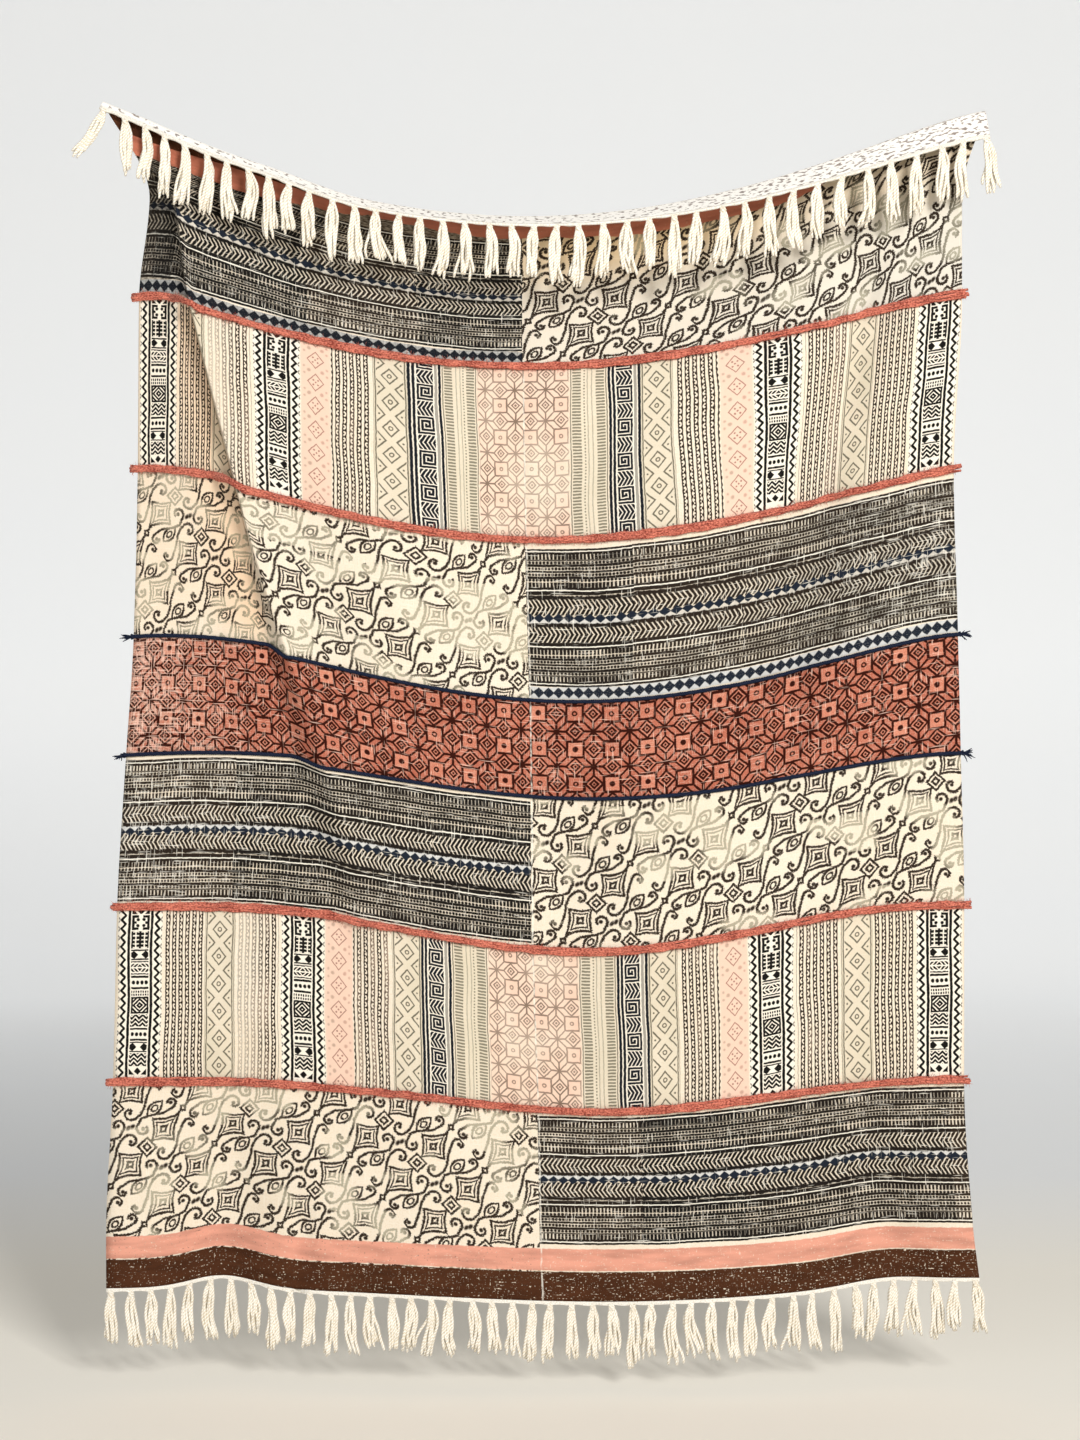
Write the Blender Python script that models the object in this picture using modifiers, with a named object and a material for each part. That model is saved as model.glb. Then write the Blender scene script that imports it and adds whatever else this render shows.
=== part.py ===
"""Block printed throw, hung up by its two top corners.

One printed cotton cloth sags between its corners, with its top hem folded over to the front.
Four coral yarns and two navy cords lie across its face, and a strip of tassels ends each hem.

The frame stands at the middle of the top fold: +Z is up, +X runs to the right along the
top edge, and the printed face looks towards -Y.
"""

import math
from collections import namedtuple

import bmesh
import bpy
from mathutils import Vector

OBJECT_NAME = "block_printed_throw"

# The cloth laid flat, in metres: "down" is measured along it from the end of the top hem,
# and "across" runs from 0 at its left edge to 1 at its right edge
CLOTH_WIDTH = 1.31
CLOTH_LENGTH = 1.75
CLOTH_THICKNESS = 0.002

# The last of each hem is a narrow strip, parted from the sheet, that the tassels are fused into
STRIP_HEIGHT = 0.0084
STRIP_THICKNESS = 0.0026
STRIP_GAP = 0.0006
SHEET_START = STRIP_HEIGHT + STRIP_GAP
SHEET_END = CLOTH_LENGTH - STRIP_HEIGHT - STRIP_GAP

# The outlines below are sizes on the plane of the top edge, as seen from here
VIEW_DISTANCE = 3.2
VIEW_HEIGHT = -0.729

# How finely the cloth's sheet is cut
COLUMNS = 34
ROW_STEP = 0.051

# The top hem, folded over to the front: its length at the left edge, middle and right edge
FLAP_LEFT = 0.012
FLAP_MIDDLE = 0.032
FLAP_RIGHT = 0.044
ROLL_RADIUS = 0.004
ROLL_STEPS = 3
FLAP_STEPS = 2
LEAN_MIDDLE = math.radians(52)
LEAN_SIDES = math.radians(14)

# Yarns and cords couched across the face
YARN_RADIUS = 0.005
CORD_RADIUS = 0.0025
COUCHING_GAP = 0.0005
YARN_END = 0.009
CORD_END = 0.018

# Fringes: the tassels along each hem, and the three locks of each tassel
TOP_TASSELS = 40
BOTTOM_TASSELS = 44
LOCKS_PER_TASSEL = 3
ROOT_WIDTH = 0.0045
LOCK_WIDTH = 0.0056
LOCK_THICKNESS = 0.0060
TIP_WIDTH = 0.0052
TASSEL_LENGTH = 0.084
TASSEL_UNEVEN = 0.009
LOCK_UNEVEN = 0.004
TASSEL_SHIFT = 0.06
TASSEL_SPREAD = 0.0035
TASSEL_LEAN = math.radians(3.0)
CORNER_LEAN = math.radians(30)
FACE_CLEARANCE = 0.0085

# Rows of the cloth as it hangs: where its edges and middle crease come, how far the row
# sags below the line between its ends, where it is lowest, and how flat its two ends are
Row = namedtuple("Row", "name down left_x crease_x right_x left_z right_z sag lowest flat_left flat_right")
ROWS = (
    Row("top fold", 0.032, -0.634, -0.026, 0.645, 0.162, 0.152, 0.157, 0.50, 1.00, 1.30),
    Row("under the corners", 0.165, -0.566, -0.026, 0.612, 0.028, 0.032, 0.137, 0.50, 1.20, 1.30),
    Row("first coral yarn", 0.307, -0.581, -0.026, 0.612, -0.116, -0.112, 0.104, 0.51, 1.35, 1.35),
    Row("second coral yarn", 0.556, -0.583, -0.022, 0.600, -0.365, -0.365, 0.103, 0.53, 1.45, 1.30),
    Row("first navy cord", 0.798, -0.589, -0.016, 0.606, -0.608, -0.605, 0.096, 0.56, 1.70, 1.55),
    Row("second navy cord", 0.971, -0.600, -0.014, 0.610, -0.780, -0.777, 0.065, 0.58, 2.20, 1.90),
    Row("third coral yarn", 1.191, -0.613, -0.012, 0.615, -1.000, -0.996, 0.067, 0.57, 2.80, 2.80),
    Row("fourth coral yarn", 1.445, -0.619, -0.004, 0.615, -1.253, -1.250, 0.045, 0.575, 3.20, 2.60),
    Row("lower border", 1.667, -0.629, 0.000, 0.628, -1.478, -1.465, 0.026, 0.60, 2.00, 2.00),
    Row("bottom hem", SHEET_END, -0.629, 0.002, 0.637, -1.553, -1.538, 0.028, 0.60, 2.00, 2.00),
)

# Soft folds: where each starts and ends down the cloth and across it, its half width as a
# share of the cloth's width, how far it sets the cloth back, and how far it lifts its rows
Fold = namedtuple("Fold", "name start end across_start across_end half_width back lift fade_in fade_out")
FOLDS = (
    Fold("right trough", 0.17, 1.16, 0.91, 0.75, 0.042, 0.026, 0.000, 0.15, 0.35),
    Fold("left foot valley", 1.40, 1.80, 0.175, 0.156, 0.052, 0.034, 0.019, 0.60, 0.05),
    Fold("right foot valley", 1.40, 1.80, 0.875, 0.897, 0.058, 0.034, 0.009, 0.60, 0.05),
    Fold("left swell", 0.25, 1.80, 0.300, 0.400, 0.110, -0.020, 0.000, 0.20, 0.05),
    Fold("right swell", 0.25, 1.80, 0.720, 0.640, 0.110, -0.020, 0.000, 0.20, 0.05),
    Fold("middle dip", 0.30, 1.40, 0.500, 0.530, 0.070, 0.012, 0.000, 0.30, 0.30),
    Fold("right corner fold", 0.06, 0.42, 0.965, 0.830, 0.024, -0.012, 0.000, 0.25, 0.50),
    Fold("left corner fold", 0.06, 0.30, 0.050, 0.150, 0.024, -0.010, 0.000, 0.25, 0.50),
)

# The drag fold under the left corner: left of it the cloth lies back and its rows are held up
DRAG_START = 0.12
DRAG_END = 1.32
DRAG_ACROSS_START = 0.025
DRAG_ACROSS_PER_METRE = 0.205
DRAG_HALF_WIDTH = 0.024
DRAG_BACK = 0.026
DRAG_LIFT = 0.013

# The hollow that the sagging cloth makes under its top fold
HOLLOW_START = 0.03
HOLLOW_END = 0.40
HOLLOW_DEPTH = 0.050
HOLLOW_EARLY = 0.70

COTTON = (0.55, 0.48, 0.40)
CORAL = (0.80, 0.30, 0.24)
NAVY = (0.04, 0.05, 0.11)
IVORY = (0.88, 0.83, 0.73)


def smooth(value):
    """Ease from 0 to 1 as value goes from 0 to 1."""
    value = min(max(value, 0.0), 1.0)
    return value * value * (3.0 - 2.0 * value)


def mix(first, second, share):
    return first + (second - first) * share


def uneven(number, kind):
    """A fixed value between -1 and 1 that looks random from one tassel to the next."""
    wave = math.sin(number * 12.9898 + kind * 78.233) * 43758.5453
    return 2.0 * (wave - math.floor(wave)) - 1.0


def through_middle(across, left, middle, right):
    """The curve through three values at the left edge, the middle and the right edge."""
    bow = middle - 0.5 * (left + right)
    return mix(left, right, across) + bow * 4.0 * across * (1.0 - across)


def flap_length(across):
    return through_middle(across, FLAP_LEFT, FLAP_MIDDLE, FLAP_RIGHT)


def row_down(row, across):
    """How far down the flat cloth a row lies: only the top fold runs at a slant."""
    if row is ROWS[0]:
        return flap_length(across)
    return row.down


def row_x(row, across):
    return through_middle(across, row.left_x, row.crease_x, row.right_x)


def row_z(row, across):
    shifted = across ** (math.log(0.5) / math.log(row.lowest))
    flatness = mix(row.flat_left, row.flat_right, across)
    dip = (4.0 * shifted * (1.0 - shifted)) ** flatness
    return mix(row.left_z, row.right_z, across) - row.sag * dip


def slope_at(values, downs, index):
    """Slope of the curve through the rows' values that never swings past a value."""
    if index in (0, len(values) - 1):
        near = 0 if index == 0 else index - 1
        return (values[near + 1] - values[near]) / (downs[near + 1] - downs[near])
    before = (values[index] - values[index - 1]) / (downs[index] - downs[index - 1])
    after = (values[index + 1] - values[index]) / (downs[index + 1] - downs[index])
    if before * after <= 0.0:
        return 0.0
    return 2.0 * before * after / (before + after)


def between_rows(values, downs, down):
    """Read the smooth curve through the rows' values at one distance down the cloth."""
    index = 0
    while index < len(downs) - 2 and down > downs[index + 1]:
        index += 1
    span = downs[index + 1] - downs[index]
    share = (down - downs[index]) / span
    start_slope = slope_at(values, downs, index) * span
    end_slope = slope_at(values, downs, index + 1) * span
    square = share * share
    cube = square * share
    return (
        (2.0 * cube - 3.0 * square + 1.0) * values[index]
        + (cube - 2.0 * square + share) * start_slope
        + (3.0 * square - 2.0 * cube) * values[index + 1]
        + (cube - square) * end_slope
    )


def fold_strength(fold, across, down):
    """How strongly a fold shows at a point of the cloth, from 0 to 1."""
    along = (down - fold.start) / (fold.end - fold.start)
    if along <= 0.0 or along >= 1.0:
        return 0.0
    middle = mix(fold.across_start, fold.across_end, along)
    aside = (across - middle) / fold.half_width
    return math.exp(-aside * aside) * smooth(along / fold.fade_in) * smooth((1.0 - along) / fold.fade_out)


def drag_strength(across, down):
    """1 on the cloth that the left corner holds back, 0 right of the drag fold."""
    along = (down - DRAG_START) / (DRAG_END - DRAG_START)
    middle = DRAG_ACROSS_START + DRAG_ACROSS_PER_METRE * (down - DRAG_START)
    held = 1.0 - smooth(0.5 + 0.5 * (across - middle) / DRAG_HALF_WIDTH)
    return held * smooth(along / 0.12) * smooth((1.0 - along) / 0.30)


def drag_lift(across, down):
    middle = max(DRAG_ACROSS_START + DRAG_ACROSS_PER_METRE * (down - DRAG_START), 0.001)
    return DRAG_LIFT * drag_strength(across, down) * min(across / middle, 1.0)


def hollow_back(across, down):
    share = (down - HOLLOW_START) / (HOLLOW_END - HOLLOW_START)
    share = min(max(share, 0.0), 1.0) ** HOLLOW_EARLY
    reach = (4.0 * across * (1.0 - across)) ** 0.8
    return HOLLOW_DEPTH * math.sin(math.pi * share) ** 2 * reach


def depth(across, down):
    """How far the face lies behind the middle of the top fold's roll."""
    back = ROLL_RADIUS + sum(fold.back * fold_strength(fold, across, down) for fold in FOLDS)
    return back + DRAG_BACK * drag_strength(across, down) + hollow_back(across, down)


def face_point(across, down):
    """The middle of the cloth's thickness at a point of its hanging face."""
    downs = [row_down(row, across) for row in ROWS]
    x = between_rows([row_x(row, across) for row in ROWS], downs, down)
    z = between_rows([row_z(row, across) for row in ROWS], downs, down)
    z += drag_lift(across, down)
    z += sum(fold.lift * fold_strength(fold, across, down) for fold in FOLDS)
    y = depth(across, down)
    nearer = (VIEW_DISTANCE + y) / VIEW_DISTANCE
    return Vector((x * nearer, y, VIEW_HEIGHT + (z - VIEW_HEIGHT) * nearer))


def edge_direction(point_at, across):
    """Unit vector along an edge of the cloth, seen from the front."""
    step = 0.004
    before = point_at(max(across - step, 0.0))
    after = point_at(min(across + step, 1.0))
    along = after - before
    return Vector((along.x, 0.0, along.z)).normalized()


def fold_start(across):
    """The last point of the face before it rolls over."""
    return face_point(across, flap_length(across)) - Vector((0.0, 0.0, ROLL_RADIUS))


def roll_and_flap(across):
    """Points over the roll and down the flap, ending at the top hem's own edge."""
    start = fold_start(across)
    along = edge_direction(fold_start, across)
    fall = Vector((along.z, 0.0, -along.x))
    toward = Vector((0.0, -1.0, 0.0))
    lean = through_middle(across, LEAN_SIDES, LEAN_MIDDLE, LEAN_SIDES)
    centre = start + toward * ROLL_RADIUS
    points = []
    for step in range(1, ROLL_STEPS + 1):
        angle = (math.pi - lean) * step / ROLL_STEPS
        points.append(centre - toward * ROLL_RADIUS * math.cos(angle) - fall * ROLL_RADIUS * math.sin(angle))
    hanging = fall * math.cos(lean) + toward * math.sin(lean)
    length = max(flap_length(across) - SHEET_START, ROLL_RADIUS)
    roll_end = points[-1]
    for step in range(1, FLAP_STEPS + 1):
        points.append(roll_end + hanging * length * step / FLAP_STEPS)
    return points


def row_downs():
    """Distances down the face that every column is cut at, as (upper row, share) pairs."""
    cuts = []
    for index in range(len(ROWS) - 1):
        steps = max(2, round((ROWS[index + 1].down - ROWS[index].down) / ROW_STEP))
        cuts += [(index, step / steps) for step in range(1, steps + 1)]
    return cuts


def cloth_column(across):
    """One column of the sheet, from the top hem's edge, over the fold, to the bottom hem."""
    points = list(reversed(roll_and_flap(across)))
    points.append(fold_start(across))
    for index, share in row_downs():
        down = mix(row_down(ROWS[index], across), row_down(ROWS[index + 1], across), share)
        points.append(face_point(across, down))
    return points


def material(name, colour, roughness):
    made = bpy.data.materials.new(name)
    made.use_nodes = True
    shader = made.node_tree.nodes["Principled BSDF"]
    shader.inputs["Base Color"].default_value = (*colour, 1.0)
    shader.inputs["Roughness"].default_value = roughness
    shader.inputs["Metallic"].default_value = 0.0
    return made


def add_to_part(made, parent):
    collection = bpy.data.collections[OBJECT_NAME]
    collection.objects.link(made)
    made.parent = parent
    return made


def build_cloth(parent):
    """A grid of the sheet's own rows and columns, moved to its hanging shape and thickened."""
    columns = [cloth_column(index / COLUMNS) for index in range(COLUMNS + 1)]
    rows = len(columns[0]) - 1
    shape = bmesh.new()
    bmesh.ops.create_grid(shape, x_segments=COLUMNS, y_segments=rows, size=0.5)
    for vert in shape.verts:
        column = round((vert.co.x + 0.5) * COLUMNS)
        row = round((0.5 - vert.co.y) * rows)
        vert.co = columns[column][row]
    for face in shape.faces:
        face.smooth = True
    mesh = bpy.data.meshes.new("cloth")
    shape.to_mesh(mesh)
    shape.free()
    mesh.materials.append(material("printed cotton", COTTON, 0.9))
    cloth = add_to_part(bpy.data.objects.new("cloth", mesh), parent)
    thicken = cloth.modifiers.new("thickness", "SOLIDIFY")
    thicken.thickness = CLOTH_THICKNESS
    thicken.offset = 0.0
    thicken.use_even_offset = True
    return cloth


def standoff(across, down, distance):
    """A point in front of the cut sheet, at least this far from the faces around it."""
    side = 1.0 / COLUMNS
    rise = 0.02
    here = face_point(across, down)
    left = face_point(max(across - side, 0.0), down) - here
    right = face_point(min(across + side, 1.0), down) - here
    above = face_point(across, down - rise) - here
    below = face_point(across, down + rise) - here
    normals = []
    for sideways, upright in ((right, above), (-left, above), (right, -below), (-left, -below)):
        if sideways.length > 0.0:
            normals.append(upright.cross(sideways).normalized())
    average = sum(normals, Vector()).normalized()
    if average.y > 0.0:
        average.negate()
        normals = [-normal for normal in normals]
    tightest = min(normal.dot(average) for normal in normals)
    return here + average * distance / tightest


def build_strand(name, down, radius, end_length, colour, parent):
    """A round yarn couched across the face, with both ends sticking out past the edges."""
    distance = CLOTH_THICKNESS / 2.0 + COUCHING_GAP + radius
    points = [standoff(index / COLUMNS, down, distance) for index in range(COLUMNS + 1)]
    out_left = (points[0] - points[1]).normalized()
    out_right = (points[-1] - points[-2]).normalized()
    points.insert(0, points[0] + out_left * end_length)
    points.append(points[-1] + out_right * end_length)
    curve = bpy.data.curves.new(name, "CURVE")
    curve.dimensions = "3D"
    curve.bevel_depth = radius
    curve.bevel_resolution = 1
    curve.use_fill_caps = True
    spline = curve.splines.new("POLY")
    spline.points.add(len(points) - 1)
    for point, place in zip(spline.points, points):
        point.co = (*place, 1.0)
    spline.use_smooth = True
    curve.materials.append(material(name + " wool", colour, 0.95))
    return add_to_part(bpy.data.objects.new(name, curve), parent)


def top_hem(across):
    """The edge of the folded-over top hem, and a point of the flap just before it."""
    points = roll_and_flap(across)
    return points[-1], points[-2]


def bottom_hem(across):
    return face_point(across, SHEET_END), face_point(across, SHEET_END - ROW_STEP)


def cut_hem(hem_at):
    """The hem as the cut sheet has it, straight from one column to the next."""
    pairs = [hem_at(index / COLUMNS) for index in range(COLUMNS + 1)]

    def hem_along(across):
        column = min(int(across * COLUMNS), COLUMNS - 1)
        share = across * COLUMNS - column
        edge = pairs[column][0].lerp(pairs[column + 1][0], share)
        inner = pairs[column][1].lerp(pairs[column + 1][1], share)
        return edge, (edge - inner).normalized()

    return hem_along


def face_depth_behind(x, z):
    """Depth of the face behind a point seen from the front, found in a few steps."""
    across = min(max(0.5 + x / CLOTH_WIDTH, 0.0), 1.0)
    down = 0.2
    for _ in range(12):
        here = face_point(across, down)
        across = min(max(across + (x - here.x) / CLOTH_WIDTH, 0.0), 1.0)
        down = min(max(down + here.z - z, flap_length(across)), SHEET_END)
    return face_point(across, down).y


def strip_cells(tassels):
    """Where the strip is cut: a narrow cell for each lock's root, and wide ones between."""
    cuts = [0.0]
    roots = []
    half = ROOT_WIDTH * LOCKS_PER_TASSEL / CLOTH_WIDTH / 2.0
    pitch = (1.0 - 2.0 * half) / (tassels - 1)
    for tassel in range(tassels):
        middle = half + pitch * tassel
        if 0 < tassel < tassels - 1:
            middle += TASSEL_SHIFT * pitch * uneven(tassel, 1)
        for lock in range(LOCKS_PER_TASSEL + 1):
            cut = middle - half + 2.0 * half * lock / LOCKS_PER_TASSEL
            if cut > cuts[-1] + 1e-6:
                cuts.append(cut)
            if lock < LOCKS_PER_TASSEL:
                roots.append((len(cuts) - 1, tassel, lock))
    cuts[-1] = 1.0
    return cuts, roots


def strip_ring(hem_along, across):
    """The strip's four corners at one place: top front, top back, bottom back, bottom front."""
    edge, fall = hem_along(across)
    near_left = hem_along(max(across - 0.004, 0.0))[0]
    near_right = hem_along(min(across + 0.004, 1.0))[0]
    front = (near_right - near_left).cross(fall).normalized() * STRIP_THICKNESS / 2.0
    if front.y > 0.0:
        front.negate()
    top = edge + fall * STRIP_GAP
    bottom = top + fall * STRIP_HEIGHT
    return [top + front, top - front, bottom - front, bottom + front]


def loft(shape, rings):
    """Faces between rings of corners, closed at both ends. Gives the faces ring by ring."""
    corners = [[shape.verts.new(place) for place in ring] for ring in rings]
    sides = len(rings[0])
    faces = []
    for near, far in zip(corners, corners[1:]):
        faces.append([
            shape.faces.new((near[side], near[(side + 1) % sides], far[(side + 1) % sides], far[side]))
            for side in range(sides)
        ])
    shape.faces.new(tuple(reversed(corners[0])))
    shape.faces.new(tuple(corners[-1]))
    return faces


def lock_path(root, tassel, lock, lean, follows_face):
    """Centre, width and thickness at each step down a lock, from its root to its tip."""
    spread = (lock - (LOCKS_PER_TASSEL - 1) / 2.0) * TASSEL_SPREAD
    length = TASSEL_LENGTH + TASSEL_UNEVEN * uneven(tassel, 3)
    length += LOCK_UNEVEN * uneven(tassel * LOCKS_PER_TASSEL + lock, 4)
    steps = []
    for share, width in ((0.22, LOCK_WIDTH), (1.0, TIP_WIDTH)):
        reach = length * share
        x = root.x + math.sin(lean) * reach + spread * share
        z = root.z - math.cos(lean) * reach
        y = root.y + 0.003 * uneven(tassel, 5) * share
        if follows_face:
            y = min(y, face_depth_behind(x, z) - FACE_CLEARANCE)
        steps.append((Vector((x, y, z)), width, LOCK_THICKNESS * mix(1.0, 0.75, share)))
    return steps


def grow_lock(shape, root_face, steps):
    """Draw a lock out of one face of the strip, step by step."""
    face = root_face
    for centre, width, thickness in steps:
        face = bmesh.ops.extrude_discrete_faces(shape, faces=[face])["faces"][0]
        middle = face.calc_center_median()
        for vert in face.verts:
            side = 1.0 if vert.co.x > middle.x else -1.0
            back = 1.0 if vert.co.y > middle.y else -1.0
            vert.co = centre + Vector((side * width / 2.0, back * thickness / 2.0, 0.0))


def tassel_lean(tassel, tassels, at_top):
    """Sideways lean of a tassel: small and uneven, but flung out at the top left corner."""
    if at_top and tassel == 0:
        return -CORNER_LEAN
    if tassel == tassels - 1:
        return CORNER_LEAN * 0.2
    return TASSEL_LEAN * math.sin(1.1 * tassel)


def build_fringe(name, hem_along, tassels, at_top, parent):
    """A narrow strip along a hem, with every tassel's locks drawn out of its lower side."""
    cuts, roots = strip_cells(tassels)
    shape = bmesh.new()
    cells = loft(shape, [strip_ring(hem_along, cut) for cut in cuts])
    for cell, tassel, lock in roots:
        root_face = cells[cell][2]
        root = root_face.calc_center_median()
        lean = tassel_lean(tassel, tassels, at_top)
        grow_lock(shape, root_face, lock_path(root, tassel, lock, lean, at_top))
    bmesh.ops.recalc_face_normals(shape, faces=shape.faces)
    mesh = bpy.data.meshes.new(name)
    shape.to_mesh(mesh)
    shape.free()
    mesh.materials.append(material(name + " cotton", IVORY, 0.9))
    return add_to_part(bpy.data.objects.new(name, mesh), parent)


def row_named(name):
    return next(row for row in ROWS if row.name == name)


def main():
    for old in list(bpy.data.objects):
        bpy.data.objects.remove(old)
    collection = bpy.data.collections.new(OBJECT_NAME)
    bpy.context.scene.collection.children.link(collection)
    top_middle = add_to_part(bpy.data.objects.new("top_middle", None), None)
    build_cloth(top_middle)
    for number, name in enumerate(("first", "second", "third", "fourth"), 1):
        down = row_named(name + " coral yarn").down
        build_strand(f"coral_yarn_{number}", down, YARN_RADIUS, YARN_END, CORAL, top_middle)
    for number, name in enumerate(("first", "second"), 1):
        down = row_named(name + " navy cord").down
        build_strand(f"navy_cord_{number}", down, CORD_RADIUS, CORD_END, NAVY, top_middle)
    build_fringe("top_fringe", cut_hem(top_hem), TOP_TASSELS, True, top_middle)
    build_fringe("bottom_fringe", cut_hem(bottom_hem), BOTTOM_TASSELS, False, top_middle)


main()
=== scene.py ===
"""Looks of the block printed throw, hung up by its two top corners.

The cloth is made as seven full-width bands that join under the yarns and cords. Each band is a
thin closed sheet on the folds of the CAD cloth, with finer creases and a sharper long fold, and
its prints are drawn by shader nodes from the cloth's own measures. Yarns, cords and tassels are
spun strands.
"""

import math
from collections import namedtuple

import bpy
import numpy as np
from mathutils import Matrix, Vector


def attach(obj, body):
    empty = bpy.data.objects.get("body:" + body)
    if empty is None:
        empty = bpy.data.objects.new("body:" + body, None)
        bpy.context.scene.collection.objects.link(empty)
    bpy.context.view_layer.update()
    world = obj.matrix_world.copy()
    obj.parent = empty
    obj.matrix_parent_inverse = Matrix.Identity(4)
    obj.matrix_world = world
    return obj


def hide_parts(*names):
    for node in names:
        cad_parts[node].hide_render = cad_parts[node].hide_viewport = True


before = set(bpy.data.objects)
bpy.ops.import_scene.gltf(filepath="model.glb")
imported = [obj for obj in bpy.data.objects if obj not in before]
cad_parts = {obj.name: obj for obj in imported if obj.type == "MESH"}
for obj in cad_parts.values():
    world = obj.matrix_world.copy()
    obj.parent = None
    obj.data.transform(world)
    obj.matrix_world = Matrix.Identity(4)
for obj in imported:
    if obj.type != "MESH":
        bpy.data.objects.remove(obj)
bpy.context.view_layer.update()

# The cloth laid flat, in metres, as in the CAD part
CLOTH_WIDTH = 1.31
CLOTH_LENGTH = 1.75
CLOTH_THICKNESS = 0.002
STRIP_HEIGHT = 0.0084
STRIP_GAP = 0.0006
SHEET_START = STRIP_HEIGHT + STRIP_GAP
SHEET_END = CLOTH_LENGTH - STRIP_HEIGHT - STRIP_GAP

# The view that the rows are measured in: how far off it is and how high
VIEW_DISTANCE = 3.2
VIEW_HEIGHT = -0.729

# The folded top hem: how long its flap is at both ends and in the middle, the radius of the
# roll above it, and how far the flap leans out
FLAP_LEFT = 0.012
FLAP_MIDDLE = 0.032
FLAP_RIGHT = 0.044
ROLL_RADIUS = 0.004
LEAN_MIDDLE = math.radians(52)
LEAN_SIDES = math.radians(14)

# Rows of the cloth as it hangs, as in the CAD part: where its edges and middle crease come, how
# far the row sags below the line between its ends, where it is lowest, and how flat its ends are
Row = namedtuple("Row", "name down left_x crease_x right_x left_z right_z sag lowest flat_left flat_right")
ROWS = (
    Row("top fold", 0.032, -0.634, -0.026, 0.645, 0.162, 0.152, 0.157, 0.50, 1.00, 1.30),
    Row("under the corners", 0.165, -0.566, -0.026, 0.612, 0.028, 0.032, 0.137, 0.50, 1.20, 1.30),
    Row("first coral yarn", 0.307, -0.581, -0.026, 0.612, -0.116, -0.112, 0.104, 0.51, 1.35, 1.35),
    Row("second coral yarn", 0.556, -0.583, -0.022, 0.600, -0.365, -0.365, 0.103, 0.53, 1.45, 1.30),
    Row("first navy cord", 0.798, -0.589, -0.016, 0.606, -0.608, -0.605, 0.096, 0.56, 1.70, 1.55),
    Row("second navy cord", 0.971, -0.600, -0.014, 0.610, -0.780, -0.777, 0.065, 0.58, 2.20, 1.90),
    Row("third coral yarn", 1.191, -0.613, -0.012, 0.615, -1.000, -0.996, 0.067, 0.57, 2.80, 2.80),
    Row("fourth coral yarn", 1.445, -0.619, -0.004, 0.615, -1.253, -1.250, 0.045, 0.575, 3.20, 2.60),
    Row("lower border", 1.667, -0.629, 0.000, 0.628, -1.478, -1.465, 0.026, 0.60, 2.00, 2.00),
    Row("bottom hem", SHEET_END, -0.629, 0.002, 0.637, -1.553, -1.538, 0.028, 0.60, 2.00, 2.00),
)

# Soft folds: where each starts and ends down the cloth and across it, its half width as a share
# of the cloth's width, how far it sets the cloth back, and how far it lifts its rows. The right
# trough and the left foot valley stand a little differently from those of the CAD part.
Fold = namedtuple("Fold", "name start end across_start across_end half_width back lift fade_in fade_out")
FOLDS = (
    Fold("right trough", 0.17, 1.16, 0.91, 0.75, 0.034, 0.030, 0.000, 0.15, 0.35),
    Fold("left foot valley", 1.40, 1.80, 0.152, 0.132, 0.052, 0.034, 0.019, 0.60, 0.05),
    Fold("right foot valley", 1.40, 1.80, 0.875, 0.897, 0.058, 0.034, 0.009, 0.60, 0.05),
    Fold("left swell", 0.25, 1.80, 0.300, 0.400, 0.110, -0.020, 0.000, 0.20, 0.05),
    Fold("right swell", 0.25, 1.80, 0.720, 0.640, 0.110, -0.020, 0.000, 0.20, 0.05),
    Fold("middle dip", 0.30, 1.40, 0.500, 0.530, 0.070, 0.012, 0.000, 0.30, 0.30),
    Fold("right corner fold", 0.06, 0.42, 0.965, 0.830, 0.024, -0.012, 0.000, 0.25, 0.50),
    Fold("left corner fold", 0.06, 0.30, 0.050, 0.150, 0.024, -0.010, 0.000, 0.25, 0.50),
)

# Creases that are in no CAD solid
CREASES = (
    Fold("folding line", 0.10, 1.74, 0.500, 0.500, 0.0040, 0.0024, 0.0, 0.05, 0.05),
    Fold("lump by the folding line", 1.15, 1.24, 0.505, 0.505, 0.012, -0.004, 0.0, 0.50, 0.50),
    Fold("first right fan crease", 0.07, 0.44, 0.985, 0.860, 0.011, -0.006, 0.0, 0.20, 0.55),
    Fold("second right fan crease", 0.07, 0.50, 0.965, 0.780, 0.013, 0.007, 0.0, 0.20, 0.55),
    Fold("third right fan crease", 0.07, 0.34, 0.950, 0.690, 0.012, -0.006, 0.0, 0.25, 0.60),
    Fold("first left fan crease", 0.07, 0.36, 0.070, 0.270, 0.012, 0.006, 0.0, 0.25, 0.60),
    Fold("second left fan crease", 0.07, 0.42, 0.050, 0.160, 0.010, -0.005, 0.0, 0.20, 0.60),
    Fold("beside the right trough", 0.45, 1.00, 0.795, 0.700, 0.018, -0.007, 0.0, 0.30, 0.50),
    Fold("left foot crease", 1.56, 1.80, 0.229, 0.219, 0.007, 0.014, 0.0, 0.45, 0.05),
    Fold("right foot crease", 1.52, 1.80, 0.836, 0.842, 0.008, 0.006, 0.0, 0.50, 0.05),
    Fold("middle foot crease", 1.50, 1.80, 0.545, 0.560, 0.016, 0.006, 0.0, 0.60, 0.05),
)

# The long fold that drags down from the left corner: the cloth left of its edge lies back, turns
# away and is held up, and the edge itself stands forward
DRAG_START = 0.12
DRAG_END = 1.32
DRAG_ACROSS_START = 0.025
DRAG_ACROSS_PER_METRE = 0.243
DRAG_HALF_WIDTH = 0.024
DRAG_BACK = 0.017
DRAG_TURN = 0.026
DRAG_RIDGE = 0.016
DRAG_RIDGE_WIDTH = 0.050
DRAG_LIFT = 0.013
SHARP_WIDTH = 0.0016
LIFT_WIDTH = 0.012
BRIDGE_WIDTH = 0.014

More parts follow.
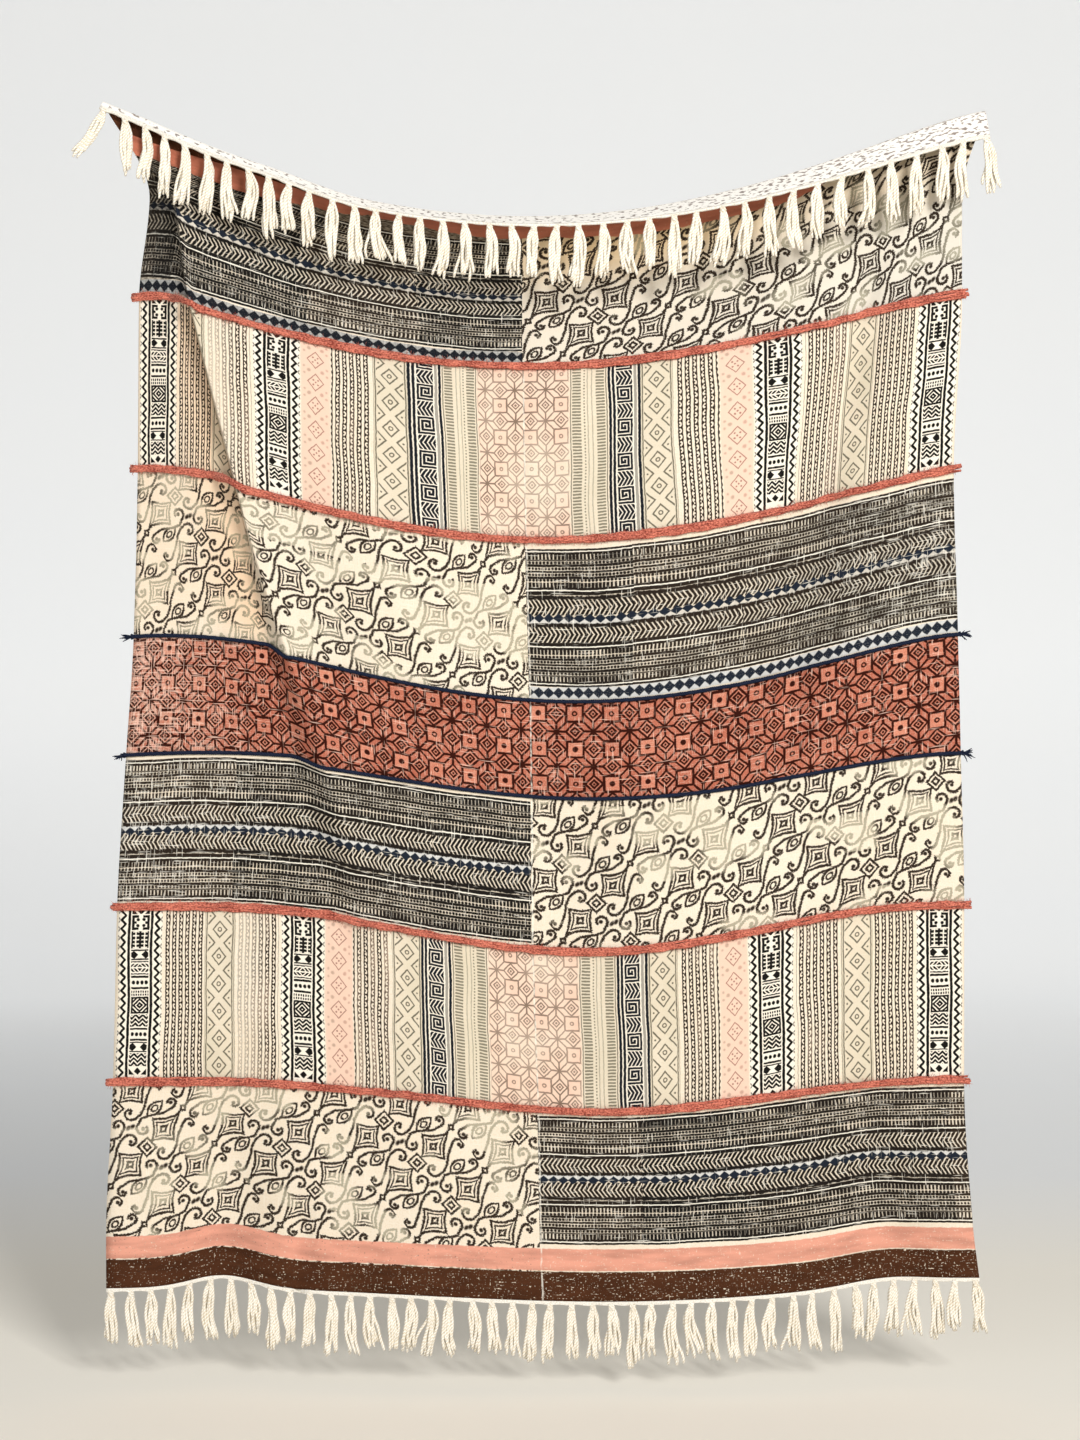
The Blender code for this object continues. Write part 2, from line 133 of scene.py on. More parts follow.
# How far the fold of the top rises beside the left corner
CORNER_RISE = 0.011

# The hollow that the sagging cloth makes under its top fold
HOLLOW_START = 0.03
HOLLOW_END = 0.40
HOLLOW_DEPTH = 0.050
HOLLOW_EARLY = 0.70

# How much flat cloth a measure of the view takes up right of the long fold, and left of it
PRINT_OVER_FOLD = 1.015
PRINT_UNDER_FOLD = 1.30

# Where the bands join, measured down the cloth, and how finely they are cut
BAND_JOINS = (0.307, 0.556, 0.798, 0.971, 1.191, 1.445)
SECOND_BAND_HEIGHT = 0.249
COLUMNS = 256
ROW_STEP = 0.0052
ROLL_STEPS = 8
FLAP_STEPS = 8
SLOPE_STEP = 0.004

# How far down the cloth the first band's block prints start to be measured
PRINT_START = 0.094


def smooth(value):
    value = np.clip(value, 0.0, 1.0)
    return value * value * (3.0 - 2.0 * value)


def mix(first, second, share):
    return first + (second - first) * share


def uneven(number, kind):
    """A fixed value between -1 and 1 that looks random from one tassel to the next."""
    wave = math.sin(number * 12.9898 + kind * 78.233) * 43758.5453
    return 2.0 * (wave - math.floor(wave)) - 1.0


def through_middle(across, left, middle, right):
    """A value that bows from left to right through its value in the middle."""
    bow = middle - 0.5 * (left + right)
    return mix(left, right, across) + bow * 4.0 * across * (1.0 - across)


def flap_length(across):
    return through_middle(across, FLAP_LEFT, FLAP_MIDDLE, FLAP_RIGHT)


def corner_rise(across):
    """The fold runs nearly straight up to the left corner."""
    return CORNER_RISE * smooth((across + 0.05) / 0.12) * (1.0 - smooth((across - 0.20) / 0.12))


def row_z(row, across):
    """Height of a row of the cloth, which hangs in a curve between its ends."""
    shifted = across ** (math.log(0.5) / math.log(row.lowest))
    flatness = mix(row.flat_left, row.flat_right, across)
    dip = np.maximum(4.0 * shifted * (1.0 - shifted), 0.0) ** flatness
    height = mix(row.left_z, row.right_z, across) - row.sag * dip
    return height + corner_rise(across) if row is ROWS[0] else height


def curve_slopes(values, downs):
    """Slopes of the curve through the rows' values, one row of numbers for each row of cloth."""
    rise = np.diff(values, axis=0) / np.diff(downs, axis=0)
    slopes = np.zeros_like(values)
    slopes[0] = rise[0]
    slopes[-1] = rise[-1]
    product = rise[:-1] * rise[1:]
    total = rise[:-1] + rise[1:]
    agree = product > 0.0
    slopes[1:-1] = np.where(agree, 2.0 * product / np.where(agree, total, 1.0), 0.0)
    return slopes


def between_rows(values, downs, down):
    """Read the smooth curve through the rows' values at one distance down for each point."""
    slopes = curve_slopes(values, downs)
    index = (down[None, :] > downs[1:-1]).sum(axis=0)[None, :]
    low, high = (np.take_along_axis(downs, index + step, 0)[0] for step in (0, 1))
    start, end = (np.take_along_axis(values, index + step, 0)[0] for step in (0, 1))
    start_slope, end_slope = (np.take_along_axis(slopes, index + step, 0)[0] for step in (0, 1))
    span = high - low
    share = (down - low) / span
    square = share * share
    cube = square * share
    return (
        (2.0 * cube - 3.0 * square + 1.0) * start
        + (cube - 2.0 * square + share) * start_slope * span
        + (3.0 * square - 2.0 * cube) * end
        + (cube - square) * end_slope * span
    )


def fold_strength(fold, across, down):
    along = np.clip((down - fold.start) / (fold.end - fold.start), 0.0, 1.0)
    middle = mix(fold.across_start, fold.across_end, along)
    aside = (across - middle) / fold.half_width
    return np.exp(-aside * aside) * smooth(along / fold.fade_in) * smooth((1.0 - along) / fold.fade_out)


def drag_across(down):
    """How far across the long fold from the left corner runs."""
    return np.clip(DRAG_ACROSS_START + DRAG_ACROSS_PER_METRE * (down - DRAG_START), 0.02, 0.32)


def drag_width(down):
    """Half the width of the fold's edge: sharp at the top, a soft slope lower down."""
    return mix(SHARP_WIDTH, DRAG_HALF_WIDTH, smooth((down - 0.60) / 0.38))


def left_of_drag(across, down, least=0.0, bridged=False):
    """1 to the left of the fold's edge and 0 to its right.

    Bridged is for what lies on the cloth and crosses the edge in a wider bend than the cloth.
    """
    edge, half = drag_across(down), drag_width(down)
    wider = np.maximum(half, least)
    if bridged:
        edge = edge + half - wider
    return 1.0 - smooth(0.5 + 0.5 * (across - edge) / wider)


def drag_fade(down):
    along = (down - DRAG_START) / (DRAG_END - DRAG_START)
    return smooth(along / 0.05) * smooth((1.0 - along) / 0.30)


def drag_back(across, down, bridged=False):
    """The cloth left of the fold lies further back and turns away; the fold's edge stands up."""
    held = left_of_drag(across, down, BRIDGE_WIDTH if bridged else 0.0, bridged)
    edge = drag_across(down)
    left_side = DRAG_BACK + DRAG_TURN * np.clip(1.0 - across / edge, 0.0, 1.0)
    away = np.maximum(across - edge, 0.0) / DRAG_RIDGE_WIDTH
    right_side = -DRAG_RIDGE * np.exp(-away * away)
    return mix(right_side, left_side, held) * drag_fade(down)


def drag_lift(across, down):
    held = left_of_drag(across, down, LIFT_WIDTH)
    return DRAG_LIFT * held * drag_fade(down) * np.minimum(across / drag_across(down), 1.0)


def hollow_back(across, down):
    share = np.clip((down - HOLLOW_START) / (HOLLOW_END - HOLLOW_START), 0.0, 1.0) ** HOLLOW_EARLY
    reach = np.maximum(4.0 * across * (1.0 - across), 0.0) ** 0.8
    return HOLLOW_DEPTH * np.sin(math.pi * share) ** 2 * reach


def ripples(across, down):
    """Small unevenness of handloomed cloth that has been folded and shaken out."""
    side = across * CLOTH_WIDTH
    return 0.0009 * (
        np.sin(31.0 * side + 5.0 * down + 1.7 * np.sin(9.0 * down))
        + 0.8 * np.sin(47.0 * down + 11.0 * side + 2.1 * np.sin(7.0 * side))
        + 0.5 * np.sin(83.0 * side - 29.0 * down)
    )


def depth(across, down, bridged=False):
    back = ROLL_RADIUS + drag_back(across, down, bridged) + hollow_back(across, down)
    for fold in FOLDS + CREASES:
        back = back + fold.back * fold_strength(fold, across, down)
    return back + ripples(across, down) * smooth((down - 0.05) / 0.10)


def sideways(across, down, downs):
    """How far to the right of the middle of the view, before the view's perspective."""
    values = np.array([through_middle(across, row.left_x, row.crease_x, row.right_x) for row in ROWS])
    return between_rows(values, downs, down)


def rows_downs(across):
    downs = np.array([np.full_like(across, row.down) for row in ROWS])
    downs[0] = flap_length(across)
    return downs


def printed_side(across, down):
    """Distance over the flat cloth from its middle: the long fold hides some of the left side."""
    across, down = np.broadcast_arrays(np.asarray(across, float), np.asarray(down, float))
    shape = across.shape
    across, down = across.ravel(), down.ravel()
    below_fold = np.maximum(down, FLAP_RIGHT)
    places = (across, *(np.full_like(across, share) for share in (0.0, 0.5, 1.0)))
    here, left, middle, right = (sideways(place, below_fold, rows_downs(place)) for place in places)
    half = 0.5 * CLOTH_WIDTH
    even = half / (middle - left)
    hides = smooth((down - 0.06) / 0.08) * (1.0 - smooth((down - 0.60) / 0.45))
    over = (here - middle) * mix(even, PRINT_OVER_FOLD, hides)
    under = (here - left) * mix(even, PRINT_UNDER_FOLD, hides) - half
    on_left = mix(over, under, left_of_drag(across, down))
    side = np.where(across < 0.5, on_left, half * (here - middle) / (right - middle))
    return (side + drawn_aside(side, down)).reshape(shape)


def drawn_aside(side, down):
    """The print is drawn a little toward the middle where the upper cloth hangs in soft folds."""
    share = np.clip((down - BAND_JOINS[0]) / SECOND_BAND_HEIGHT, 0.0, 1.0)
    fade = smooth((down - 0.10) / 0.15) * (1.0 - smooth((down - 0.60) / 0.25))
    left = -(0.008 + 0.007 * share) * np.exp(-(((side + 0.125) / 0.062) ** 2))
    right = -0.022 * np.exp(-(((side - mix(0.440, 0.330, share)) / 0.150) ** 2))
    return (left + right) * fade


def face_point(across, down, bridged=False):
    """Middle of the cloth's thickness at points of its hanging face, one row of xyz for each."""
    across, down = np.broadcast_arrays(np.asarray(across, float), np.asarray(down, float))
    shape = across.shape
    across, down = across.ravel(), down.ravel()
    downs = rows_downs(across)
    x = sideways(across, down, downs)
    z = between_rows(np.array([row_z(row, across) for row in ROWS]), downs, down)
    z = z + drag_lift(across, down)
    for fold in FOLDS:
        z = z + fold.lift * fold_strength(fold, across, down)
    y = depth(across, down, bridged)
    nearer = (VIEW_DISTANCE + y) / VIEW_DISTANCE
    points = np.stack((x * nearer, y, VIEW_HEIGHT + (z - VIEW_HEIGHT) * nearer), axis=-1)
    return points.reshape(*shape, 3)


def fold_start(across):
    return face_point(across, flap_length(across)) - np.array((0.0, 0.0, ROLL_RADIUS))


def unit(vectors):
    return vectors / np.maximum(np.linalg.norm(vectors, axis=-1, keepdims=True), 1e-9)


def flap_directions(across):
    """At each place along the fold: the way down the flap's plane, and how far it leans out."""
    right = fold_start(np.minimum(across + SLOPE_STEP, 1.0))
    along = right - fold_start(np.maximum(across - SLOPE_STEP, 0.0))
    along[..., 1] = 0.0
    along = unit(along)
    fall = np.stack((along[..., 2], np.zeros_like(across), -along[..., 0]), axis=-1)
    lean = through_middle(across, LEAN_SIDES, LEAN_MIDDLE, LEAN_SIDES)
    return fall, lean[..., None]


def roll_and_flap(across):
    """Rows of points over the roll and down the flap, ending at the top hem's own edge."""
    across = np.asarray(across, float)
    start = fold_start(across)
    fall, lean = flap_directions(across)
    toward = np.array((0.0, -1.0, 0.0))
    centre = start + toward * ROLL_RADIUS
    rows = []
    for step in range(1, ROLL_STEPS + 1):
        angle = (math.pi - lean) * step / ROLL_STEPS
        rows.append(centre - toward * ROLL_RADIUS * np.cos(angle) - fall * ROLL_RADIUS * np.sin(angle))
    hanging = fall * np.cos(lean) + toward * np.sin(lean)
    length = np.maximum(flap_length(across) - SHEET_START, ROLL_RADIUS)[..., None]
    for step in range(1, FLAP_STEPS + 1):
        rows.append(rows[ROLL_STEPS - 1] + hanging * length * step / FLAP_STEPS)
    return rows, hanging


class Number:
    """A number worked out by shader nodes, written like ordinary arithmetic."""

    def __init__(self, socket):
        self.socket = socket

    def __add__(self, other):
        return maths("ADD", self, other)

    def __radd__(self, other):
        return maths("ADD", self, other)

    def __sub__(self, other):
        return maths("SUBTRACT", self, other)

    def __rsub__(self, other):
        return maths("SUBTRACT", other, self)

    def __mul__(self, other):
        return maths("MULTIPLY", self, other)

    def __truediv__(self, other):
        return maths("DIVIDE", self, other)

    def __abs__(self):
        return maths("ABSOLUTE", self)


def tree_of(*values):
    return next(value.socket.id_data for value in values if isinstance(value, Number))


def put(tree, socket, value):
    """Feed a socket from a node's number, from another socket, or with a plain value."""
    if isinstance(value, Number):
        tree.links.new(value.socket, socket)
    elif hasattr(value, "links"):
        tree.links.new(value, socket)
    else:
        socket.default_value = value


def maths(operation, *values):
    tree = tree_of(*values)
    node = tree.nodes.new("ShaderNodeMath")
    node.operation = operation
    for socket, value in zip(node.inputs, values):
        put(tree, socket, value)
    return Number(node.outputs[0])


def larger(*values):
    result = values[0]
    for value in values[1:]:
        result = maths("MAXIMUM", result, value)
    return result


def smaller(first, second):
    return maths("MINIMUM", first, second)


def triangle(value, half_period):
    """Rises from 0 to half_period and falls back, over and over."""
    return maths("PINGPONG", value, half_period)


def share_of(value, period):
    """How far value is through its period, from 0 to 1."""
    return maths("FRACT", value * (1.0 / period))


def around(value, period, middle=0.0):
    """value wrapped to within half a period of 0, repeated from middle."""
    if middle:
        value = value - middle
    return maths("WRAP", value, 0.5 * period, -0.5 * period)


def length_of(x, y):
    return maths("SQRT", maths("MULTIPLY_ADD", x, x, y * y))


def between(first, second, share):
    """first where share is 0, second where it is 1."""
    return maths("MULTIPLY_ADD", share, second - first, first)


def ramp(value, start, end, low=0.0, high=1.0):
    tree = tree_of(value)
    node = tree.nodes.new("ShaderNodeMapRange")
    for socket, number in zip(node.inputs, (value, start, end, low, high)):
        put(tree, socket, number)
    return Number(node.outputs[0])


def below(value, limit, soft=0.4):
    """1 where value is below limit, 0 above it."""
    if isinstance(limit, Number):
        return ramp(value - limit, soft, -soft)
    return ramp(value, limit + soft, limit - soft)


def above(value, limit, soft=0.4):
    return ramp(value, limit - soft, limit + soft)


def stroke(distance, half_width, soft=0.4):
    """1 on a line that is half_width to each side of where distance is 0."""
    return below(abs(distance), half_width, soft)


def within(value, low, high, soft=0.4):
    return stroke(value - 0.5 * (low + high), 0.5 * (high - low), soft)


def vector(tree, x, y, z=0.0):
    node = tree.nodes.new("ShaderNodeCombineXYZ")
    for socket, value in zip(node.inputs, (x, y, z)):
        put(tree, socket, value)
    return node.outputs[0]


def noise(x, y, width, height=None, seed=0.0, detail=2.0, colour=False):
    """Uneven patches about width by height millimetres, from 0 to 1 around 0.5.

    With colour, three such values that differ.
    """
    tree = tree_of(x, y)
    node = tree.nodes.new("ShaderNodeTexNoise")
    node.inputs["Scale"].default_value = 1.0
    node.inputs["Detail"].default_value = detail
    place = vector(tree, x * (1.0 / width), y * (1.0 / (height or width)), seed)
    put(tree, node.inputs["Vector"], place)
    if colour:
        parts = tree.nodes.new("ShaderNodeSeparateColor")
        tree.links.new(node.outputs["Color"], parts.inputs[0])
        return [Number(socket) for socket in parts.outputs]
    return Number(node.outputs["Fac"])


def chance(tree, x, y=0.0, seed=0.0):
    """A random share from 0 to 1 that stays the same for the same whole numbers."""
    node = tree.nodes.new("ShaderNodeTexWhiteNoise")
    node.noise_dimensions = "3D"
    put(tree, node.inputs["Vector"], vector(tree, x, y, seed))
    return Number(node.outputs["Value"])


def blend(tree, under, over, share):
    """over laid on under, each a colour or a node's colour."""
    node = tree.nodes.new("ShaderNodeMix")
    node.data_type = "RGBA"
    put(tree, node.inputs["Factor"], share)
    for socket, value in ((node.inputs[6], under), (node.inputs[7], over)):
        put(tree, socket, (*value, 1.0) if isinstance(value, tuple) else value)
    return node.outputs[2]


# Colours as light reflected, without the light itself
CREAM = (0.81, 0.715, 0.59)
WARM_CREAM = (0.72, 0.585, 0.40)
PALE_THREAD = (0.90, 0.86, 0.76)
GREY_WASH = (0.27, 0.255, 0.21)
BLACK_INK = (0.010, 0.009, 0.008)
BROWN_INK = (0.030, 0.020, 0.014)
OLIVE_INK = (0.25, 0.235, 0.155)
NAVY_INK = (0.014, 0.019, 0.030)
TILE_INK = (0.034, 0.007, 0.004)
TILE_THREAD = (0.84, 0.55, 0.44)
STRIP_RUST = (0.56, 0.19, 0.115)
# Painted shade under the top flap: a greyer cream, and golden close under it
SHADED_CREAM = (0.70, 0.65, 0.56)
GOLDEN_SHADE = (0.66, 0.46, 0.22)
# Painted warm bounced light left of the long fold
TAN_BOUNCED_LIGHT = (0.82, 0.53, 0.31)
OLIVE_WASH = (0.60, 0.535, 0.395)
PALE_BLUE = (0.56, 0.59, 0.62)
RUST = (0.40, 0.112, 0.068)
RUST_LIGHT = (0.68, 0.27, 0.175)
PEACH = (0.82, 0.555, 0.43)
PEACH_DEEP = (0.78, 0.47, 0.35)
ROSE = (0.58, 0.21, 0.17)
DUST = (0.30, 0.205, 0.15)
PINK = (0.74, 0.34, 0.245)
DARK_BROWN = (0.074, 0.027, 0.012)
REVERSE = (0.93, 0.925, 0.90)


class Print:
    """A printed area: the colour laid so far, and where on the cloth it is, in millimetres."""

    def __init__(self, tree, colour, x, y, seed=0.0, wash=0.0):
        self.tree = tree
        self.colour = colour
        self.x = x
        self.y = y
        self.seed = seed
        self.wash = wash

    def lay(self, over, share):
        """Lay a colour or an ink over what is there, as strongly as share says."""
        self.colour = blend(self.tree, self.colour, over, share)

    def lay_mixed(self, first, second, mixed, share):
        """Lay an ink mixed from two, by a share of the second one."""
        self.lay(blend(self.tree, first, second, mixed), share)

    def noise(self, width, height=None, kind=0.0, detail=2.0):
        """Unevenness of this area, a different one for each kind."""
        return noise(self.x, self.y, width, height, self.seed + kind, detail)

    def take(self, fine_share, thread_share, bare, inked, least):
        """How well the ink took: fine specks and threads that stand up stay paler."""
        fine, threads = ink_grain(self)
        taken = ramp(fine * fine_share + threads * thread_share, bare, inked)
        return larger(taken, least)

    def stamp(self, group, x, y, seed, wash=0.0):
        """Lay a whole block print, made once as a node group."""
        node = self.tree.nodes.new("ShaderNodeGroup")
        node.node_tree = group
        for socket, value in zip(node.inputs, (self.colour, x, y, seed, wash)):
            put(self.tree, socket, value)
        self.colour = node.outputs[0]


def block_print(name, painter):
    """A node group in which a painter lays one print on the ground that it is given."""
    group = bpy.data.node_groups.new(name, "ShaderNodeTree")
    group.interface.new_socket("Ground", in_out="INPUT", socket_type="NodeSocketColor")
    for label in ("Across", "Down", "Seed", "Wash"):
        group.interface.new_socket(label, in_out="INPUT", socket_type="NodeSocketFloat")
    group.interface.new_socket("Colour", in_out="OUTPUT", socket_type="NodeSocketColor")
    source = group.nodes.new("NodeGroupInput")
    numbers = [Number(socket) for socket in source.outputs[1:5]]
    area = Print(group, source.outputs[0], *numbers)
    painter(area)
    sink = group.nodes.new("NodeGroupOutput")
    group.links.new(area.colour, sink.inputs[0])
    return group


def ink_grain(area):
    """Fine unevenness of the ink, and the threads that stand up and stay paler."""
    fine = area.noise(1.7, detail=1.0)
    return fine, larger(area.noise(26.0, 1.0, 1.0, 1.0), area.noise(1.0, 26.0, 2.0, 1.0))


def wobble(area):
    """The hand's unevenness: the print wanders a little, slowly and then quickly."""
    slow_x, slow_y, _ = noise(area.x, area.y, 90.0, seed=area.seed, detail=1.0, colour=True)
    fast_x, fast_y, _ = noise(area.x, area.y, 5.5, seed=area.seed + 3.0, detail=1.0, colour=True)
    return (
        area.x + (slow_x - 0.5) * 6.0 + (fast_x - 0.5) * 1.6,
        area.y + (slow_y - 0.5) * 5.0 + (fast_y - 0.5) * 1.6,
    )


# The stripe print, in millimetres: its height, where its chain of diamonds runs, the width of
# its block and its teeth, and how far apart its diamonds and chevrons are
STRIPE_HEIGHT = 204.0
CHAIN_HEIGHT = 103.3
BLOCK_WIDTH = 158.0
TOOTH = 5.55
FINE_DOT = 5.0
DIAMOND_PITCH = 15.2
CHEVRON_PITCH = 6.9

# Its lines either side of the chain: how far off, half width and strength
STRIPE_LINES = (
    (101.3, 2.2, 1.0), (95.7, 1.8, 1.0), (85.2, 1.2, 0.9), (77.6, 2.0, 1.0),
    (68.4, 1.6, 1.0), (59.6, 2.0, 1.0), (43.6, 1.9, 1.0), (37.2, 2.8, 1.0),
)


def stripe_dots(x, far, fat):
    """Two rows of dots on each side, the inner ones finer."""
    row = smaller(abs(far - 56.0), abs(far - 81.6))
    finer_row = smaller(abs(far - 64.0), abs(far - 73.0))
    return larger(
        below(length_of((share_of(x, TOOTH) - 0.5) * TOOTH, row), 2.3, 0.5),
        below(length_of((share_of(x, FINE_DOT) - 0.5) * FINE_DOT, finer_row), fat * 3.2 + 0.9, 0.5),
    )


def stripe_middle(area, x, chain):
    """Chevrons above and below the chain, with a ragged dark strip beside each row of them."""
    arm = abs(chain - between(15.6, -23.6, below(chain, -5.0, 0.01)))
    slanting = stroke(share_of(x - arm * 0.66, CHEVRON_PITCH) - 0.5, 0.34, 0.07)
    ragged = chain + (area.noise(6.0, kind=6.0) - 0.5) * 6.0
    strips = larger(within(ragged, -13.4, -7.4, 0.8), within(ragged, 26.6, 32.8, 0.8))
    return larger(slanting * below(arm, 12.2, 0.4), strips)


def stripe_streaks(area):
    """Ink drawn along the threads, both ways."""
    weft = ramp(area.noise(30.0, 1.5, 8.0), 0.50, 0.60)
    warp = ramp(area.noise(1.5, 30.0, 9.0), 0.52, 0.62)
    return larger(weft, warp * 0.8)


def paint_stripes(area):
    """Lines, dots and teeth either side of chevrons and a chain of diamonds."""
    tree = area.tree
    x, y = wobble(area)
    block = maths("FLOOR", x * (1.0 / BLOCK_WIDTH))
    y = y + (chance(tree, block, seed=area.seed) - 0.5) * 1.2
    x = x + chance(tree, block, seed=area.seed + 1.0) * 9.0
    dark_block = chance(tree, block, seed=area.seed + 2.0)
    chain = y - CHAIN_HEIGHT
    far = abs(chain + 1.0)
    inside = above(y, -0.5) * below(y, STRIPE_HEIGHT + 0.5)
    fine = area.noise(1.7, detail=1.0)
    worn = area.noise(42.0, kind=5.0)
    washed = ramp(worn + fine * 0.5 + dark_block * 0.25, 0.50, 1.10, 0.25, 0.90)
    middle_rows = within(far, 57.0, 85.0, 3.0)
    area.lay(GREY_WASH, washed * area.wash * inside * ramp(middle_rows, 0.0, 1.0, 0.45, 0.75))
    streaks = stripe_streaks(area) * ramp(middle_rows, 0.0, 1.0, 0.30, 0.62) * inside
    area.lay(BROWN_INK, streaks * ramp(worn + dark_block * 0.2, 0.40, 0.75, 0.25, 0.85))
    scallops = below(chain, 1.0, 0.5) * above(chain, -8.0, 0.5)
    area.lay(PALE_BLUE, scallops * inside * ramp(area.wash, 0.2, 0.8, 0.85, 0.25))
    pale_lines = larger(stroke(far - 40.4, 1.3), stroke(far - 98.6, 1.1))
    area.lay(PALE_THREAD, pale_lines * inside * 0.8)
    lines = larger(*(stroke(far - distance, half) * strength for distance, half, strength in STRIPE_LINES))
    teeth_rows = larger(within(far, 86.0, 95.7), within(far, 43.6, 52.8))
    fat = ramp(worn + dark_block * 0.2, 0.42, 0.72, 0.28, 0.46)
    teeth = below(abs(share_of(x, TOOTH) - 0.5), fat, 0.10) * teeth_rows
    take = area.take(0.6, 0.5, 0.96, 0.78, 0.75)
    ink = larger(lines, teeth, stripe_dots(x, far, fat), stripe_middle(area, x, chain)) * inside * take
    smudge = ramp(worn + fine * 0.45 + dark_block * 0.12, 0.80, 1.00) * teeth_rows * inside * 0.85
    area.lay_mixed(BROWN_INK, BLACK_INK, dark_block, larger(ink, smudge))
    diamond = abs(around(x, DIAMOND_PITCH)) * (1.0 / 8.7) + abs(chain) * (1.0 / 6.8)
    area.lay(NAVY_INK, below(diamond, 1.0, 0.08) * inside * larger(take, 0.9))
    area.lay(PALE_THREAD, pale_threads(area, 0.0) * inside * 0.55)


def pale_threads(area, more):
    """Threads both ways that stand up and took little ink, most of them toward the left end."""
    left_end = ramp(area.x, -650.0, -380.0, 0.055, 0.0)
    threads = larger(area.noise(34.0, 2.1, 10.0, 1.0), area.noise(2.1, 26.0, 11.0, 1.0))
    return ramp(threads + left_end + more, 0.655, 0.73)


def paint_diamond_row(area):
    """Black diamonds touching on pale blue, around where y is 0."""
    x, y = wobble(area)
    block = maths("FLOOR", x * (1.0 / 150.0))
    y = y + (chance(area.tree, block, seed=7.0) - 0.5) * 1.6
    fine, threads = ink_grain(area)
    strip_here = within(y, -9.0, 11.0, 0.6)
    area.lay(GREY_WASH, strip_here * (area.wash + 0.15))
    area.lay(PALE_BLUE, within(y, -9.0, 10.0, 0.8) * between(0.75, 0.30, area.wash))
    area.lay(BROWN_INK, ramp(threads + fine * 0.3, 0.62, 0.80) * strip_here * area.wash)
    diamond = abs(around(x, DIAMOND_PITCH)) * (1.0 / 8.6) + abs(y) * (1.0 / 8.4)
    take = area.take(0.7, 0.4, 0.86, 0.66, 0.8)
    area.lay_mixed(NAVY_INK, BLACK_INK, area.wash, below(diamond, 1.06, 0.09) * take)


# The scroll print repeats along two slanting directions, and turned half round about each motif.
# It and the tiles are drawn out a little across the cloth.
PRINT_DRAWN_OUT = 1.07
SCROLL_STEP = 56.0
SCROLL_REPEAT = 193.0
SCROLL_SHIFT = SCROLL_REPEAT / 4.0

# The curling strokes of one scroll motif, in millimetres. Each part has its place from the
# middle of the motif, its hooks (centre, start, turn, radius, tightening) and the points that
# its straight strokes run through.
SCROLL_PARTS = (
    # From the squares to the next ones
    ((22.3, -24.6), (), ((16.0, -19.0), (23.5, -28.0))),
    # The scroll that rises to the right
    ((30.0, 4.0), (((-6.9, 2.9), 45.0, 275.0, 11.2, 1.7),), ((1.0, 10.8), (7.8, 4.4), (12.6, -6.4))),
    ((52.0, -22.0), (((7.5, -10.3), 185.0, 255.0, 9.3, 1.25),), ((-9.4, 19.6), (-7.6, 5.8), (-1.8, -11.1))),
    # The scroll over the squares
    ((-6.0, -32.0), (((0.0, 5.7), 225.0, -275.0, 9.8, 1.0),), ((-6.9, -1.2), (-3.2, -9.9), (6.0, -13.6))),
    ((20.0, -56.0), (((10.5, -8.3), 60.0, -255.0, 7.6, 0.8),), ((-20.0, 10.4), (2.3, 6.4), (14.3, -1.7))),
)


def scroll_frame(along, aside, x, y):
    """Place relative to the scroll part that stands at (x, y) from the middle of its motif."""
    step = y / SCROLL_STEP
    side = (x - SCROLL_SHIFT * step) / SCROLL_REPEAT
    away = maths("WRAP", along - step, 0.5, -0.5)
    return (
        maths("MULTIPLY_ADD", away, SCROLL_SHIFT, (aside - side) * SCROLL_REPEAT),
        away * SCROLL_STEP,
    )


def hook(x, y, centre, start, turn, radius, tighten, half):
    """A curling stroke: from the angle start it goes round by turn degrees, getting tighter."""
    px = x - centre[0]
    py = y - centre[1]
    angle = maths("ARCTAN2", py, px) - math.radians(start)
    if turn < 0.0:
        angle = angle * -1.0
    angle = maths("WRAP", angle, 2.0 * math.pi, 0.0)
    out = length_of(px, py)
    away = out - radius + angle * tighten
    curl = stroke(away, half * 1.1, 0.5) * below(angle, math.radians(abs(turn)), 0.10)
    return larger(curl, below(out, 2.9, 0.7))


def segment(x, y, start, end, half):
    """A straight stroke between two points."""
    along = (end[0] - start[0], end[1] - start[1])
    length = math.hypot(*along)
    ux, uy = along[0] / length, along[1] / length
    px = x - 0.5 * (start[0] + end[0])
    py = y - 0.5 * (start[1] + end[1])
    forward = maths("MULTIPLY_ADD", py, uy, px * ux)
    aside = maths("MULTIPLY_ADD", py, -ux, px * uy)
    beyond = maths("MAXIMUM", abs(forward) - 0.5 * length, 0.0)
    return below(length_of(aside, beyond), half, 0.5)


def rings(distance, radii, half):
    """Concentric outlines at each of the radii."""
    result = stroke(distance - radii[0], half)
    for radius in radii[1:]:
        result = larger(result, stroke(distance - radius, half))
    return result


def nested_squares(px, py, half):
    """Three squares, the outer one drawn out to a ring that it shares with the next motif."""
    drawn_out = ramp(px - py, -4.0, 34.0, 0.0, 6.0)
    ax = px - drawn_out * 0.9
    ay = py + drawn_out
    high, low = larger(abs(ax), abs(ay)), smaller(abs(ax), abs(ay))
    hollow = low * low / larger(high, 1.0)
    square = high * 1.17 - hollow * 0.21
    outlines = ((14.8, half), (9.6, half * 0.66), (3.4, half * 0.9))
    return larger(*(stroke(square - distance, width) for distance, width in outlines))


def leaf_with_eye(px, py, half):
    """A slanting leaf with a ring in it."""
    ux = maths("MULTIPLY_ADD", py, -0.74, px * 0.67)
    uy = maths("MULTIPLY_ADD", py, 0.67, px * 0.74)
    leaf = maths("MULTIPLY_ADD", ux * ux, 0.036, abs(uy))
    return larger(stroke(leaf - 7.6, half), stroke(length_of(ux * 0.7, uy) - 3.6, half * 0.6))


